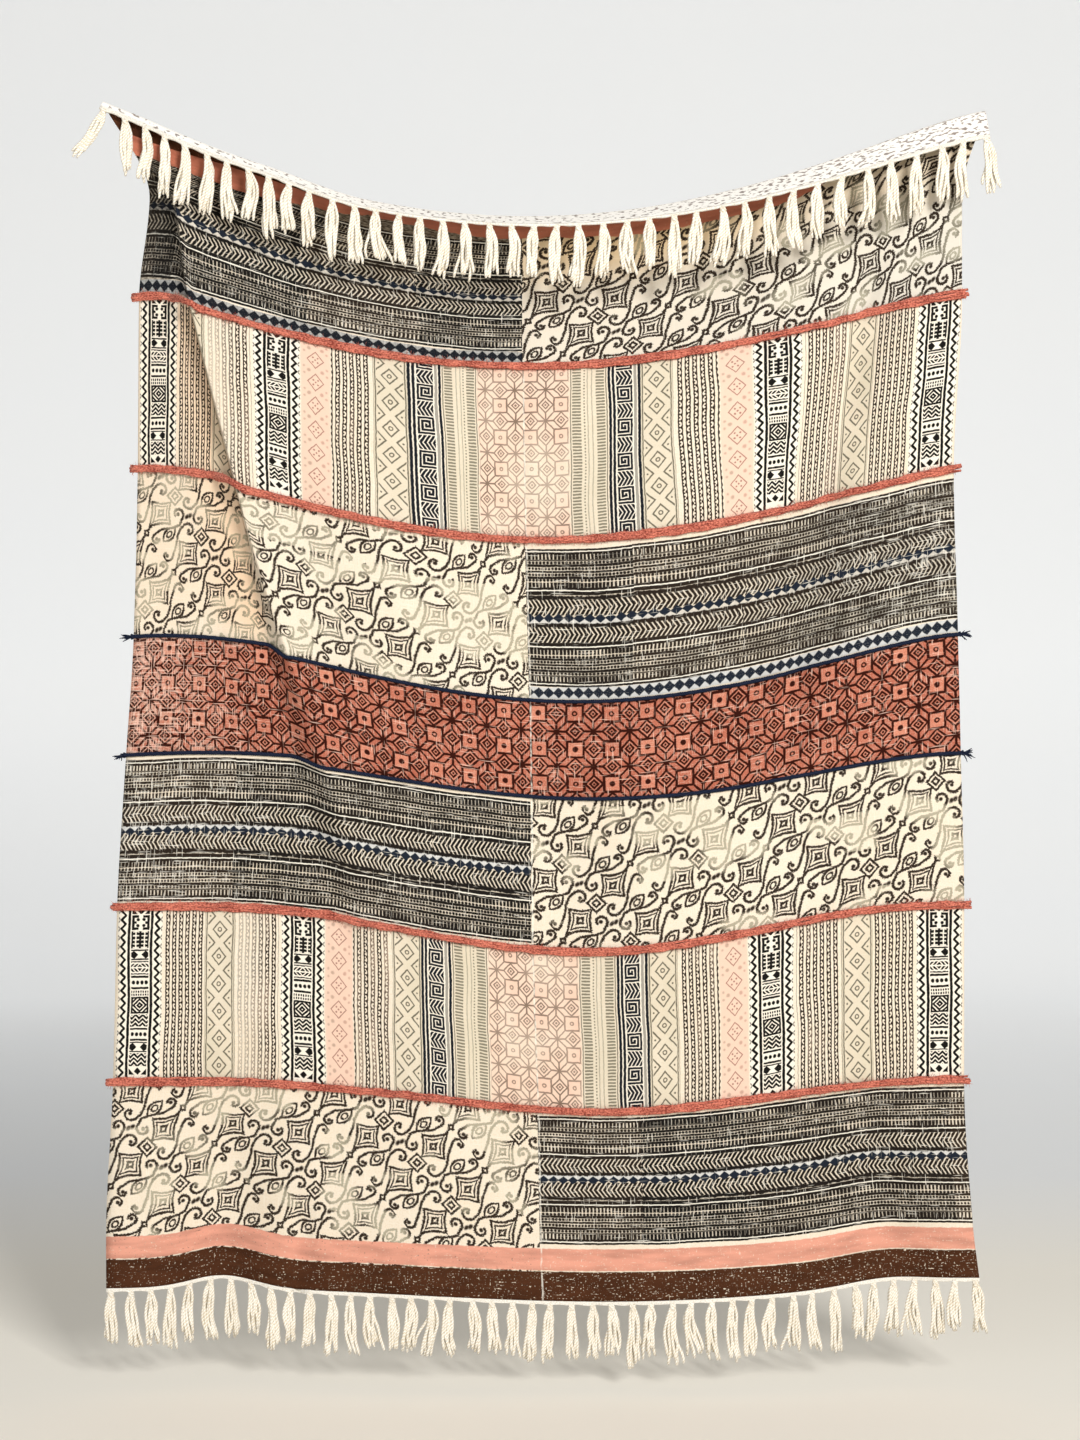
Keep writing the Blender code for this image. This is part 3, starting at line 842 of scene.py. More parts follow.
def scroll_ink(along, aside, half):
    """Where the ink of one scroll motif goes."""
    px, py = scroll_frame(along, aside, 0.0, 0.0)
    ink = rings(abs(px) + abs(py), (13.0, 5.2), half * 1.15)
    px, py = scroll_frame(along, aside, 24.1, 28.0)
    ink = larger(ink, below(length_of(abs(px) - 2.8, maths("MULTIPLY_ADD", px, 0.4, py)), 3.6, 1.2))
    ink = larger(ink, nested_squares(*scroll_frame(along, aside, 22.3, -24.6), half))
    px, py = scroll_frame(along, aside, 48.25, -56.0)
    ink = larger(ink, stroke(larger(abs(px), abs(py)) - 3.0, half * 0.9))
    for place, hooks, points in SCROLL_PARTS:
        px, py = scroll_frame(along, aside, *place)
        for shape in hooks:
            ink = larger(ink, hook(px, py, *shape, half))
        for start, end in zip(points[:-1], points[1:]):
            ink = larger(ink, segment(px, py, start, end, half))
    return larger(ink, leaf_with_eye(*scroll_frame(along, aside, 57.0, -0.5), half))


def paint_scrolls(area):
    """Scrolls, nested squares, diamonds and leaves, some of them faded."""
    tree = area.tree
    x, y = wobble(area)
    x = x * (1.0 / PRINT_DRAWN_OUT)
    along = y * (1.0 / SCROLL_STEP) + 0.30
    aside = maths("MULTIPLY_ADD", along, -0.25, x * (1.0 / SCROLL_REPEAT) + 0.2)
    motif = chance(tree, maths("ROUND", along), maths("ROUND", aside), area.seed)
    along = maths("WRAP", along, 0.5, -0.5)
    lattice = maths("WRAP", aside, 0.5, -0.5)
    along = along * between(-1.0, 1.0, above(lattice, 0.0, 0.0001))
    rough_edge = area.noise(1.9, kind=4.0, detail=1.0) - 0.5
    half = maths("MULTIPLY_ADD", rough_edge, 5.0, area.wash * 0.20 + 1.92)
    ink = scroll_ink(along, abs(lattice), half)
    patch = area.noise(75.0, 55.0, 5.0, 1.0)
    strength = ramp(patch + (motif - 0.5) * 0.26 + area.wash * 0.10, 0.38, 0.48)
    take = area.take(0.7, 0.4, 0.90, 0.68, 0.55)
    area.lay_mixed(OLIVE_INK, BROWN_INK, strength, ink * take * between(0.72, 1.0, strength))


# Width of a star tile on the rust band and on the middle panel, in millimetres
TILE = 51.5
PANEL_TILE = 46.0


def tile_lines(x, y, size, half):
    """Eight-pointed stars between squares and diamonds."""
    qx = triangle(x * (1.0 / size), 0.5)
    qy = triangle(y * (1.0 / size), 0.5)
    high, low = larger(qx, qy), smaller(qx, qy)
    width = half / size
    soft = 0.45 / size
    diamond = (0.5 - high) + low
    square_middle = length_of(0.5 - high, 0.5 - low)
    lines = larger(
        stroke(diamond - 0.25, width * 1.2, soft),
        stroke(diamond - 0.115, width * 1.15, soft),
        below(length_of(0.5 - high, low), 0.036, soft),
        stroke(low - 0.275, width, soft) * above(high, 0.27, soft),
        below(low, width, soft) * below(high, 0.25, soft),
        stroke(high - low, width * 1.2, soft) * below(high, 0.275, soft),
    )
    return lines, diamond, low, square_middle


def paint_tiles(area):
    """Stars, squares and diamonds in black lines on rust."""
    tree = area.tree
    x, y = wobble(area)
    x = x * (1.0 / PRINT_DRAWN_OUT)
    worn = noise(area.x, area.y, 90.0, 60.0, seed=8.0)
    lines, diamond, low, square_middle = tile_lines(x, y, TILE, ramp(worn, 0.35, 0.65, 2.1, 1.6))
    luck = chance(tree, maths("FLOOR", x * (1.0 / TILE)), maths("FLOOR", y * (1.0 / TILE)), 5.0)
    ring = stroke(square_middle - 0.055, 0.024, 0.010)
    dots = between(ring, below(square_middle, 0.080, 0.012), above(luck, 0.60, 0.01))
    squares = above(low, 0.275, 0.01)
    fine, threads = ink_grain(area)
    left_end = ramp(area.x, -650.0, -400.0, 1.0, 0.0)
    light = larger(squares * (luck * 0.8 + 0.1), below(diamond, 0.25, 0.02) * 0.45)
    share = light * 0.70 + ramp(worn, 0.35, 0.75) * 0.30 + (fine - 0.5) * 1.1
    bare = ramp(threads + fine * 0.4 + left_end * 0.13, 0.80, 1.02) * between(0.75, 1.0, left_end)
    area.lay(blend(tree, RUST, RUST_LIGHT, share), between(1.0, 0.30, bare))
    take = larger(ramp(fine * 0.6 + threads * 0.5 + left_end * 0.10, 1.00, 0.80), 0.45)
    area.lay(TILE_INK, larger(lines, dots) * take)
    area.lay(TILE_THREAD, pale_threads(area, left_end * 0.030 + 0.012) * 0.66)


# The upright stripes either side of the middle, from and to, in millimetres
PEACH_COLUMNS = ((283.0, 326.0),)
OLIVE_COLUMNS = ((174.0, 221.0), (468.0, 515.0))
BEAD_COLUMNS = ((224.0, 282.0), (400.0, 466.0), (516.0, 580.0))
BEAD_PITCH = 10.4
KEY_PITCH = 49.5
THIN_DIAMOND_PITCH = 35.8
TICK_PITCH = 4.6


def paint_columns(area):
    """Upright stripes mirrored about the middle: glyphs, beads, diamonds, keys and ticks."""
    x, y = wobble(area)
    side = abs(x)
    worn = area.noise(60.0, 110.0, 4.0, 1.0)
    take = area.take(0.6, 0.4, 0.88, 0.66, 0.6)
    outer = above(side, 450.0, 0.01)
    right_hand = above(x, 0.0, 0.01)
    middle_panel = below(side, 70.0, 2.0) * ramp(worn, 0.30, 0.55, 0.35, 0.95)
    peach = larger(in_columns(side, PEACH_COLUMNS, 1.0), middle_panel)
    area.lay(PEACH, peach * ramp(side, 60.0, 80.0, 0.72, 0.86))
    olive = in_columns(side, (*OLIVE_COLUMNS, (74.0, 124.0)), 1.5)
    area.lay(OLIVE_WASH, olive * ramp(worn, 0.30, 0.65, 0.30, 0.60))
    paint_beads(area, side, x, y, worn, take)
    paint_ticks(area, side, y, take)
    paint_olive_diamonds(area, side, y, outer, take)
    paint_peach_diamonds(area, side, y, right_hand, take)
    paint_key(area, side, y, right_hand, take)
    paint_glyphs(area, side, y, outer, take)
    paint_star_panel(area, x, y, worn, take)


def in_columns(side, columns, soft=0.4):
    """1 inside any of the upright stripes, each a pair of distances from the middle."""
    return larger(*(within(side, low, high, soft) for low, high in columns))


def paint_star_panel(area, x, y, worn, take):
    """The middle panel of stars."""
    lines, _, low, square_middle = tile_lines(x + 11.0, y + 10.0, PANEL_TILE, 1.2)
    lines = larger(lines, stroke(square_middle - 0.05, 0.020, 0.012))
    panel = below(abs(x), 69.0, 1.0)
    area.lay(PEACH_DEEP, above(low, 0.275, 0.01) * panel * ramp(worn, 0.30, 0.6) * 0.38)
    area.lay_mixed(DUST, BROWN_INK, 0.35, lines * panel * take * ramp(worn, 0.36, 0.62, 0.62, 0.98))


def paint_beads(area, side, x, y, worn, take):
    """Upright chains of pale beads between dark dots, coarse and fine in turn."""
    bar = around(side, BEAD_PITCH, 2.0)
    number = maths("FLOOR", (side + 3.2) * (1.0 / BEAD_PITCH))
    coarse = above(triangle(side + 3.2, BEAD_PITCH), 0.5 * BEAD_PITCH, 0.05)
    large_bead = length_of(bar * (1.0 / 1.9), around(y, 9.6) * (1.0 / 3.3))
    small_bead = length_of(bar * (1.0 / 1.6), around(y, 4.9) * (1.0 / 1.6))
    bead = between(small_bead, large_bead, coarse)
    chain = below(abs(bar), 3.4) * above(bead, 1.0, 0.18)
    luck = chance(area.tree, number, seed=area.seed)
    faint = ramp(side, 418.0, 452.0, 0.0, 0.55) * above(x * -1.0, 0.0, 0.01) * below(side, 467.0, 1.0)
    chain = chain * (1.0 - faint) * in_columns(side, BEAD_COLUMNS)
    darker = ramp(side, 500.0, 520.0, 0.0, 0.2) + above(x, 0.0, 0.01) * 0.15
    strong = ramp(worn + luck * 0.5 + darker, 0.40, 0.78)
    area.lay_mixed(DUST, BROWN_INK, strong * 0.7 + 0.3, chain * take * between(0.85, 1.0, strong))


def paint_ticks(area, side, y, take):
    """Combs of short strokes beside the middle panel."""
    teeth = stroke(share_of(y, TICK_PITCH) - 0.5, 0.29, 0.10)
    combs = teeth * in_columns(side, ((74.6, 87.6), (110.2, 122.8)))
    dots = below(length_of(side - 92.6, around(y, TICK_PITCH)), 1.2)
    lines = larger(stroke(side - 97.4, 0.8), stroke(side - 104.0, 0.8)) * 0.6
    lines = larger(lines, stroke(side - 72.2, 0.9), stroke(side - 125.4, 0.9))
    area.lay_mixed(OLIVE_INK, BROWN_INK, 0.55, larger(combs, dots, lines) * take * 0.85)


def paint_olive_diamonds(area, side, y, outer, take):
    """Diamonds with a ring, half diamonds with a dot at each side, between lines."""
    reach = abs(side - between(197.8, 492.0, outer))
    up = triangle(y + 6.0, 19.7)
    diamond = reach * (1.0 / 10.6) + up * (1.0 / 12.0)
    half_diamond = (18.8 - reach) * (1.0 / 11.6) + (19.7 - up) * (1.0 / 12.4)
    marks = larger(
        stroke(diamond - 1.0, 0.13, 0.05),
        stroke(length_of(reach, up) - 2.7, 0.9),
        stroke(half_diamond - 1.0, 0.13, 0.05) * below(reach, 18.4),
        below(length_of(reach - 15.2, up - 19.7), 1.4),
        stroke(reach - 20.2, 0.9),
        stroke(reach - 23.2, 0.8) * 0.7,
    )
    area.lay_mixed(OLIVE_INK, BROWN_INK, 0.70, marks * in_columns(side, OLIVE_COLUMNS) * take * 0.92)


def paint_peach_diamonds(area, side, y, right_hand, take):
    """Thin diamonds with five dots, and larger dots between them."""
    across = side - 304.5
    reach = abs(across)
    up = around(y, THIN_DIAMOND_PITCH, 31.0)
    diamond = reach * (1.0 / 11.8) + abs(up) * (1.0 / 13.2)
    five = smaller(length_of(reach, up), length_of(reach - 3.5, abs(up) - 3.7))
    from_half_way = abs(up) - 0.5 * THIN_DIAMOND_PITCH
    half_way = length_of(reach - 9.6, from_half_way)
    edge_dots = length_of(reach - 16.4, abs(from_half_way) - 5.4)
    place = in_columns(side, PEACH_COLUMNS)
    thin = larger(stroke(diamond - 1.0, 0.085, 0.05), below(five, 1.4, 0.5))
    area.lay_mixed(ROSE, BROWN_INK, 0.6, thin * place * take * 0.80)
    pinker = above(across * (right_hand - 0.5), 0.0, 0.01)
    dots = larger(below(half_way, 2.7, 1.1), below(edge_dots, 1.9, 0.8) * 0.8)
    area.lay_mixed(DUST, ROSE, pinker * 0.35, dots * place * take * 0.58)


def paint_key(area, side, y, right_hand, take):
    """Square spirals between rows of arrows that point outward, inside double lines."""
    across = side - 151.5
    reach = abs(across)
    along = y + area.seed * 3.3 - 91.4
    up = around(along, KEY_PITCH)
    lower = above(up, 0.0, 0.01)
    turn = larger(abs(across + lower * 2.5), abs(up))
    spiral = stroke(share_of(turn + lower * 2.5 + 2.5, 5.0) - 0.5, 0.36, 0.07) * within(up, -11.4, 13.9)
    arrow_y = around(along, KEY_PITCH, 26.0)
    arrows = stroke(share_of(across + abs(arrow_y) * 0.62, 5.8) - 0.5, 0.36, 0.08) * stroke(arrow_y, 10.8)
    ink = larger(spiral, arrows) * below(reach, 11.4)
    ink = larger(ink, stroke(reach - 15.6, 2.0), stroke(reach - 21.4, 2.1))
    grey_line = stroke(across * (right_hand - 0.5) * 2.0 - 15.6, 1.8)
    inside = below(reach, 23.6)
    area.lay(PALE_THREAD, inside * 0.5)
    strength = larger(take, 0.95) * (1.0 - grey_line * 0.4)
    area.lay_mixed(NAVY_INK, BLACK_INK, 0.6, ink * inside * strength)


def paint_glyphs(area, side, y, outer, take):
    """Black figures one above the other between upright lines and zigzags."""
    across = side - between(361.5, 617.0, outer)
    reach = abs(across)
    inside = below(reach, 34.0)
    area.lay(PALE_THREAD, inside * 0.6)
    wave = triangle(y, 6.35)
    zigzag = larger(
        stroke(reach - 23.0 - wave, 2.5, 0.5) * within(reach, 21.5, 31.5),
        stroke(reach - 37.2 + wave, 1.4, 0.5) * within(reach, 31.6, 34.0) * 0.8,
    )
    ink = larger(zigzag, stroke(reach - 17.4, 2.1), glyph_ink(across * 0.92, y) * below(reach, 13.6))
    area.lay(BLACK_INK, ink * inside * larger(take, 0.9))


def glyph_ink(across, y):
    """Where the ink of the figures goes, from the top of the band down."""
    reach = abs(across)

    def triangles(w):
        return larger(above(reach + w * 0.9, 9.0), below(reach + abs(w) * 0.9, 5.0))

    def ladder(w):
        bars = stroke(share_of(w, 5.6) - 0.5, 0.36, 0.08)
        return larger(bars * above(abs(reach - 6.2), 0.8), below(reach, 1.7), above(reach, 10.2))

    def eyes(w):
        box = larger(stroke(reach - 10.8, 2.0), stroke(abs(w) - 9.0, 2.0) * above(reach, 3.0))
        pupils = below(length_of(reach - 4.2, abs(w) - 4.4), 2.4)
        return larger(box, stroke(w, 1.9) * above(reach, 6.0), pupils)

    def dots(w):
        spots = below(length_of(around(across, 6.2, 3.1), w * 0.8), 2.4)
        return larger(spots, stroke(abs(w) - 8.2, 1.7))

    def hatching(w):
        slanting = stroke(share_of(reach + abs(w) * 0.9, 5.6) - 0.5, 0.32, 0.08)
        return larger(slanting * above(abs(around(w, 6.8)), 0.9), stroke(abs(w) - 9.2, 1.0))

    def bow_tie(w):
        wings = above(reach - abs(w) * 0.95, 2.4) * below(reach + abs(w) * 1.4, 16.5)
        return larger(wings, stroke(abs(w) - 7.0, 1.6))

    def cross(w):
        diamond = reach + abs(w)
        frame_line = stroke(larger(reach, abs(w)) - 11.6, 1.7)
        return larger(rings(diamond, (3.2, 9.0, 15.4), 2.0), frame_line, above(diamond, 19.0))

    def zigzags(w):
        return stroke(share_of(w + triangle(across, 5.2), 6.2) - 0.5, 0.33, 0.08)

    def comb(w):
        return stroke(share_of(across, 3.4) - 0.5, 0.31, 0.1) * above(abs(w), 0.7)

    figures = (
        (2.0, 11.0, triangles), (12.5, 34.0, eyes), (35.5, 60.0, ladder), (61.5, 77.0, bow_tie),
        (78.5, 98.0, hatching), (99.5, 119.0, dots), (121.0, 129.0, comb), (130.5, 156.0, cross),
        (157.5, 175.0, zigzags), (177.0, 196.0, dots), (197.5, 212.0, bow_tie), (213.5, 232.0, zigzags),
        (234.0, 244.0, triangles),
    )
    return larger(*(
        figure(y - 0.5 * (start + end)) * within(y, start, end, 0.3) for start, end, figure in figures
    ))


def strip(area, colour, start, end, fleck, seed):
    """A solid printed strip across the cloth, with ragged edges and bare threads."""
    middle = (start + end) * 0.5
    half = (end - start) * 0.5
    y = area.y + (noise(area.x, area.y, 8.0, seed=seed) - 0.5) * 2.6
    weft = noise(area.x, area.y, 18.0, 1.9, seed + 1.0, 1.0)
    fine = noise(area.x, area.y, 3.4, 2.2, seed + 2.0, 1.0)
    weft = larger(weft, noise(area.x, area.y, 1.8, 12.0, seed + 4.0, 1.0))
    bare = ramp(fine * 0.6 + weft * 0.6, 0.725, 0.82) * fleck
    patches = noise(area.x, area.y, 70.0, 14.0, seed + 3.0)
    deep = tuple(part * 0.72 for part in colour)
    inked = stroke(y - middle, half, 0.6) * (1.0 - bare)
    area.lay_mixed(deep, colour, ramp(patches, 0.3, 0.6), inked)


# From one thread of the weave to the next, in millimetres
WARP_PITCH = 1.6
WEFT_PITCH = 1.7


def ground_colour(tree, x, y):
    """Ecru cotton: warm and darker in patches, with slubs, and warmer near the top as painted shade under the
    top flap.
    """
    patches = noise(x, y, 150.0, seed=21.0)
    slubs = larger(noise(x, y, 40.0, 1.2, 22.0, 1.0), noise(x, y, 1.2, 40.0, 23.0, 1.0))
    grain = noise(x, y, 2.0, seed=24.0, detail=2.0)
    warm = blend(tree, CREAM, WARM_CREAM, ramp(patches, 0.35, 0.75, 0.0, 0.25))
    warm = blend(tree, warm, WARM_CREAM, ramp(grain, 0.46, 0.74, 0.0, 0.75))
    # Painted shade under the top flap: warmer near the top, fading out by 170 mm down
    warm = blend(tree, warm, WARM_CREAM, ramp(y, 80.0, 170.0, 0.75, 0.0))
    return blend(tree, warm, PALE_THREAD, ramp(slubs, 0.60, 0.80, 0.0, 0.6))


def weave_height(x, y):
    """Height of the plain weave, uneven as handspun."""
    bend = noise(x, y, 14.0, seed=31.0, detail=1.0)
    warp = maths("SINE", (x + bend * 2.0) * (2.0 * math.pi / WARP_PITCH))
    weft = maths("SINE", (y + bend * 2.0) * (2.0 * math.pi / WEFT_PITCH))
    rough = noise(x, y, 2.8, seed=33.0, detail=3.0)
    return warp * weft * 0.5 + rough * 2.6


def new_material(name):
    """A matt finish, with the node tree and the shader that its looks are made in."""
    made = bpy.data.materials.new(name)
    made.use_nodes = True
    tree = made.node_tree
    shader = tree.nodes["Principled BSDF"]
    shader.inputs["Roughness"].default_value = 0.92
    shader.inputs["Specular IOR Level"].default_value = 0.05
    return made, tree, shader


def map_place(tree, name):
    """The two numbers of a UV map, in millimetres."""
    node = tree.nodes.new("ShaderNodeUVMap")
    node.uv_map = name
    parts = tree.nodes.new("ShaderNodeSeparateXYZ")
    tree.links.new(node.outputs[0], parts.inputs[0])
    return Number(parts.outputs[0]) * 1000.0, Number(parts.outputs[1]) * 1000.0


def bump(tree, shader, height, strength, distance):
    node = tree.nodes.new("ShaderNodeBump")
    node.inputs["Strength"].default_value = strength
    node.inputs["Distance"].default_value = distance
    put(tree, node.inputs["Height"], height)
    tree.links.new(node.outputs[0], shader.inputs["Normal"])


def cloth_material(name, painters, reverse=False):
    """A cloth finish: painters lay their prints on ecru cotton. The reverse shows them faintly."""
    made, tree, shader = new_material(name)
    x, y = map_place(tree, "Cloth")
    _, run = map_place(tree, "Print")
    bare = ground_colour(tree, x, y)
    area = Print(tree, bare, x, y)
    for painter in painters:
        painter(area, run)
    if reverse:
        dashes = noise(x, y, 8.0, 1.8, 41.0, 1.0) + ramp(x, -100.0, 500.0, 0.0, 0.05)
        pale = blend(tree, bare, REVERSE, 0.8)
        area.colour = blend(tree, pale, area.colour, ramp(dashes, 0.58, 0.66, 0.04, 0.75))
    else:
        # A pale line painted just right of the folding line, from 300 mm down, stronger in patches
        wandering = (noise(x, y, 20.0, seed=42.0) - 0.5) * 4.0
        folding_line = stroke(x - 2.0 + wandering, 1.2) * ramp(y, 280.0, 320.0)
        pale_patches = ramp(noise(x, y, 9.0, seed=43.0), 0.40, 0.56, 0.10, 0.60)
        area.lay(PALE_THREAD, folding_line * pale_patches)
    put(tree, shader.inputs["Base Color"], area.colour)
    put(tree, shader.inputs["Roughness"], ramp(noise(x, y, 8.0, seed=35.0), 0.3, 0.7, 0.84, 0.97))
    bump(tree, shader, weave_height(x, y), 0.45, 0.0007)
    return made


# What is laid besides the block prints: each painter gets the area and how far the print has run


def painted_shade_under_flap(area, run):
    """The upper right end: painted shade, a little greyer, and golden painted shade close under the flap."""
    area.lay(SHADED_CREAM, ramp(area.y, 120.0, 180.0) * ramp(area.x, 100.0, 550.0, 0.5, 1.0))
    golden_painted_shade = ramp(area.y, 100.0, 165.0, 0.62, 0.0) * within(area.x, 0.0, 330.0, 70.0)
    area.lay(GOLDEN_SHADE, golden_painted_shade)


def painted_light_by_long_fold(area, run):
    """Warm light painted left of the long fold, strongest near its edge: light that the fold bounces onto the
    cloth beside it.
    """
    fallen = area.y - 1000.0 * BAND_JOINS[0]
    beside = maths("MULTIPLY_ADD", fallen, -DRAG_ACROSS_PER_METRE, area.x + 532.0)
    warm = ramp(beside, -100.0, -25.0, 0.16, 0.58) * ramp(beside, -4.0, 16.0, 1.0, 0.0)
    area.lay(TAN_BOUNCED_LIGHT, warm * within(area.y, 300.0, 800.0, 40.0))


def top_strips(area, run):
    """Rust and then brown over it along the top: how far down each reaches varies."""
    x = area.x
    bow = x * (1.0 / 430.0)
    narrower = ramp(abs(x + 240.0), 0.0, 190.0, 22.0, 0.0)
    rust_end = maths("MULTIPLY_ADD", bow, bow * 12.0, 70.0) - narrower
    rust_end = smaller(rust_end, ramp(x, 400.0, 450.0, 97.0, 62.0))
    rust_end = rust_end + ramp(x, 60.0, 160.0, 0.0, 8.0) * ramp(x, 380.0, 430.0, 1.0, 0.0)
    rust_end = rust_end + (noise(x, x, 30.0, seed=50.0, detail=1.0) - 0.5) * 9.0
    brown_end = larger(ramp(x, -600.0, -480.0, 57.0, 42.0), ramp(x, 370.0, 430.0, 42.0, 66.0))
    strip(area, STRIP_RUST, 0.0, rust_end, 0.35, 51.0)
    strip(area, DARK_BROWN, 0.0, brown_end, 0.30, 52.0)


def dark_start(area, run):
    """The dark cloth that shows between the first strip and the stripes."""
    blot = noise(area.x, area.y, 9.0, 2.0, 56.0)
    area.lay(BROWN_INK, within(area.y, 40.0, 77.5, 1.0) * ramp(blot, 0.40, 0.64, 0.96, 0.55))


def overprint(area, run):
    """The left end of the first band, printed over twice."""
    blot = noise(area.x, area.y, 7.0, 3.0, 55.0)
    area.lay(BLACK_INK, below(area.x, -598.0, 1.5) * ramp(blot, 0.30, 0.62, 0.92, 0.45))


def bottom_strips(area, run):
    """Pink and brown along the foot."""
    strip(area, PINK, 1667.0, 1698.6, 0.60, 53.0)
    strip(area, DARK_BROWN, 1700.0, 1741.5, 0.95, 54.0)


def band_painters():
    """For each band: what is printed on its left half and on its right half, in order.

    With None for its right half, a band is printed in one piece.
    """
    stripe_block = block_print("stripe block", paint_stripes)
    diamond_block = block_print("diamond block", paint_diamond_row)
    scroll_block = block_print("scroll block", paint_scrolls)
    tile_block = block_print("tile block", paint_tiles)
    column_block = block_print("column block", paint_columns)

    def stripes(top, turned, wash, seed, darker_right=0.0):
        def painter(area, run):
            washed = wash + ramp(area.x, 150.0, 520.0, 0.0, darker_right)
            x, y = area.x, area.y - top
            if turned:
                x, y = area.x * -1.0, (STRIPE_HEIGHT + top) - area.y
            area.stamp(stripe_block, x, y, seed, washed)
        return painter

    def diamonds(at, wash):
        return lambda area, run: area.stamp(diamond_block, area.x, area.y - at, 3.0, wash)

    def scrolls(seed, inky):
        return lambda area, run: area.stamp(scroll_block, area.x + 13.0 * seed, run, seed, inky)

    def columns(seed):
        return lambda area, run: area.stamp(column_block, area.x, run, seed)

    def tiles(area, run):
        area.stamp(tile_block, area.x + 13.0, run + 8.0, 9.0)

    # The first band's left stripes get a heavier grey wash than the other stripes: partly print, partly
    # painted shade under the top fringe
    first_left = [stripes(76.0, True, 0.75, 11.0), overprint, diamonds(291.0, 0.55), dark_start, top_strips]
    third_right = [stripes(569.8, True, 0.50, 15.0, 1.2), diamonds(784.0, 0.10)]
    return (
        (first_left, [painted_shade_under_flap, scrolls(12.0, 1.0), top_strips]),
        ([painted_light_by_long_fold, columns(13.0)], None),
        ([painted_light_by_long_fold, scrolls(14.0, 0.0)], third_right),
        ([tiles], None),
        ([stripes(978.8, False, 0.40, 16.0)], [scrolls(17.0, 0.7)]),
        ([columns(18.0)], None),
        ([scrolls(19.0, 0.1), bottom_strips], [stripes(1455.5, False, 0.42, 20.0), bottom_strips]),
    )


def grid_normals(points):
    """Unit normals of a grid of points, looking away from the printed side's back."""
    down = np.gradient(points, axis=0)
    right = np.gradient(points, axis=1)
    return unit(np.cross(down, right))


def grid_quads(rows, columns, first, flip=False):
    index = first + np.arange(rows * columns).reshape(rows, columns)
    corners = (index[:-1, :-1], index[1:, :-1], index[1:, 1:], index[:-1, 1:])
    quads = np.stack(corners, axis=-1).reshape(-1, 4)
    return quads[:, ::-1] if flip else quads


def rim_quads(rows, columns, front, back):
    """Faces round the edge between the front grid and the back grid."""
    index = np.arange(rows * columns).reshape(rows, columns)
    loop = np.concatenate((index[:-1, 0], index[-1, :-1], index[:0:-1, -1], index[0, :0:-1]))
    after = np.roll(loop, -1)
    return np.stack((loop + front, loop + back, after + back, after + front), axis=-1)


def mesh_piece(name, points, faces, materials, slots=None):
    """A smooth mesh in the scene, with its finishes, and a slot of them for each face."""
    mesh = bpy.data.meshes.new(name)
    mesh.from_pydata(np.asarray(points).tolist(), [], [list(face) for face in faces])
    for made in materials:
        mesh.materials.append(made)
    if slots is not None:
        mesh.polygons.foreach_set("material_index", np.asarray(slots, dtype=np.int32))
    mesh.polygons.foreach_set("use_smooth", np.full(len(mesh.polygons), True))
    mesh.update()
    piece = bpy.data.objects.new(name, mesh)
    bpy.context.scene.collection.objects.link(piece)
    return piece


def add_uv(piece, name, values):
    """A UV map from one (u, v) for each vertex."""
    layer = piece.data.uv_layers.new(name=name)
    corner = np.zeros(len(piece.data.loops), dtype=np.int32)
    piece.data.loops.foreach_get("vertex_index", corner)
    layer.data.foreach_set("uv", np.asarray(values, dtype=np.float32)[corner].ravel())


def columns_across(down):
    """Where the mesh's columns run at distances down the cloth: close together at the long fold."""
    steps = np.linspace(0.0, 1.0, COLUMNS + 1)[None, :]
    edge = drag_across(down)
    reach = 1.25 * drag_width(down)
    knots = ((0.0, 0.0), (0.10, edge - reach), (0.16, edge + reach), (0.5, 0.5), (1.0, 1.0))
    across = np.zeros(np.broadcast_shapes(steps.shape, np.shape(down)))
    for (start, low), (end, high) in zip(knots[:-1], knots[1:]):
        share = np.clip((steps - start) / (end - start), 0.0, 1.0)
        across = across + (high - low) * share
    return across


def band_grid(number):
    """Points of a band's middle surface, and for each how far down and across the cloth it is."""
    joins = (None, *BAND_JOINS, SHEET_END)
    start, end = joins[number], joins[number + 1]
    if start is not None:
        rows = max(2, round((end - start) / ROW_STEP))
        downs = np.repeat(np.linspace(start, end, rows + 1)[:, None], COLUMNS + 1, axis=1)
        across = columns_across(downs)
        return face_point(across, downs), downs, across
    top = columns_across(np.array([[0.0]]))[0]
    flap_rows, _ = roll_and_flap(top)
    rows = round((end - 0.04) / ROW_STEP)
    share = np.linspace(0.0, 1.0, rows + 1)[1:, None]
    across = np.repeat(top[None, :], rows, axis=0)
    for _ in range(3):
        fold = flap_length(across)
        downs = fold + (end - fold) * share
        across = columns_across(downs)
    points = np.concatenate((np.array(flap_rows)[::-1], fold_start(top)[None], face_point(across, downs)))
    flap_share = np.linspace(0.0, 1.0, FLAP_STEPS + ROLL_STEPS + 1)[:, None]
    flap_downs = SHEET_START + (flap_length(top)[None, :] - SHEET_START) * flap_share
    flap_across = np.repeat(top[None, :], len(flap_downs), axis=0)
    return points, np.concatenate((flap_downs, downs)), np.concatenate((flap_across, across))


def band_faces(rows, columns, finishes):
    """Faces of a band's front, reverse and rim, and the slot of each: the front's come first."""
    count = rows * columns
    front = grid_quads(rows, columns, 0)
    back = grid_quads(rows, columns, count, flip=True)
    rims = rim_quads(rows, columns, 0, count)
    right_half = np.tile(np.arange(COLUMNS) >= COLUMNS // 2, rows - 1)
    front_slots = right_half * (finishes - 1)
    slots = np.concatenate((front_slots, front_slots + finishes, np.full(len(rims), finishes)))
    return np.concatenate((front, back, rims)), slots


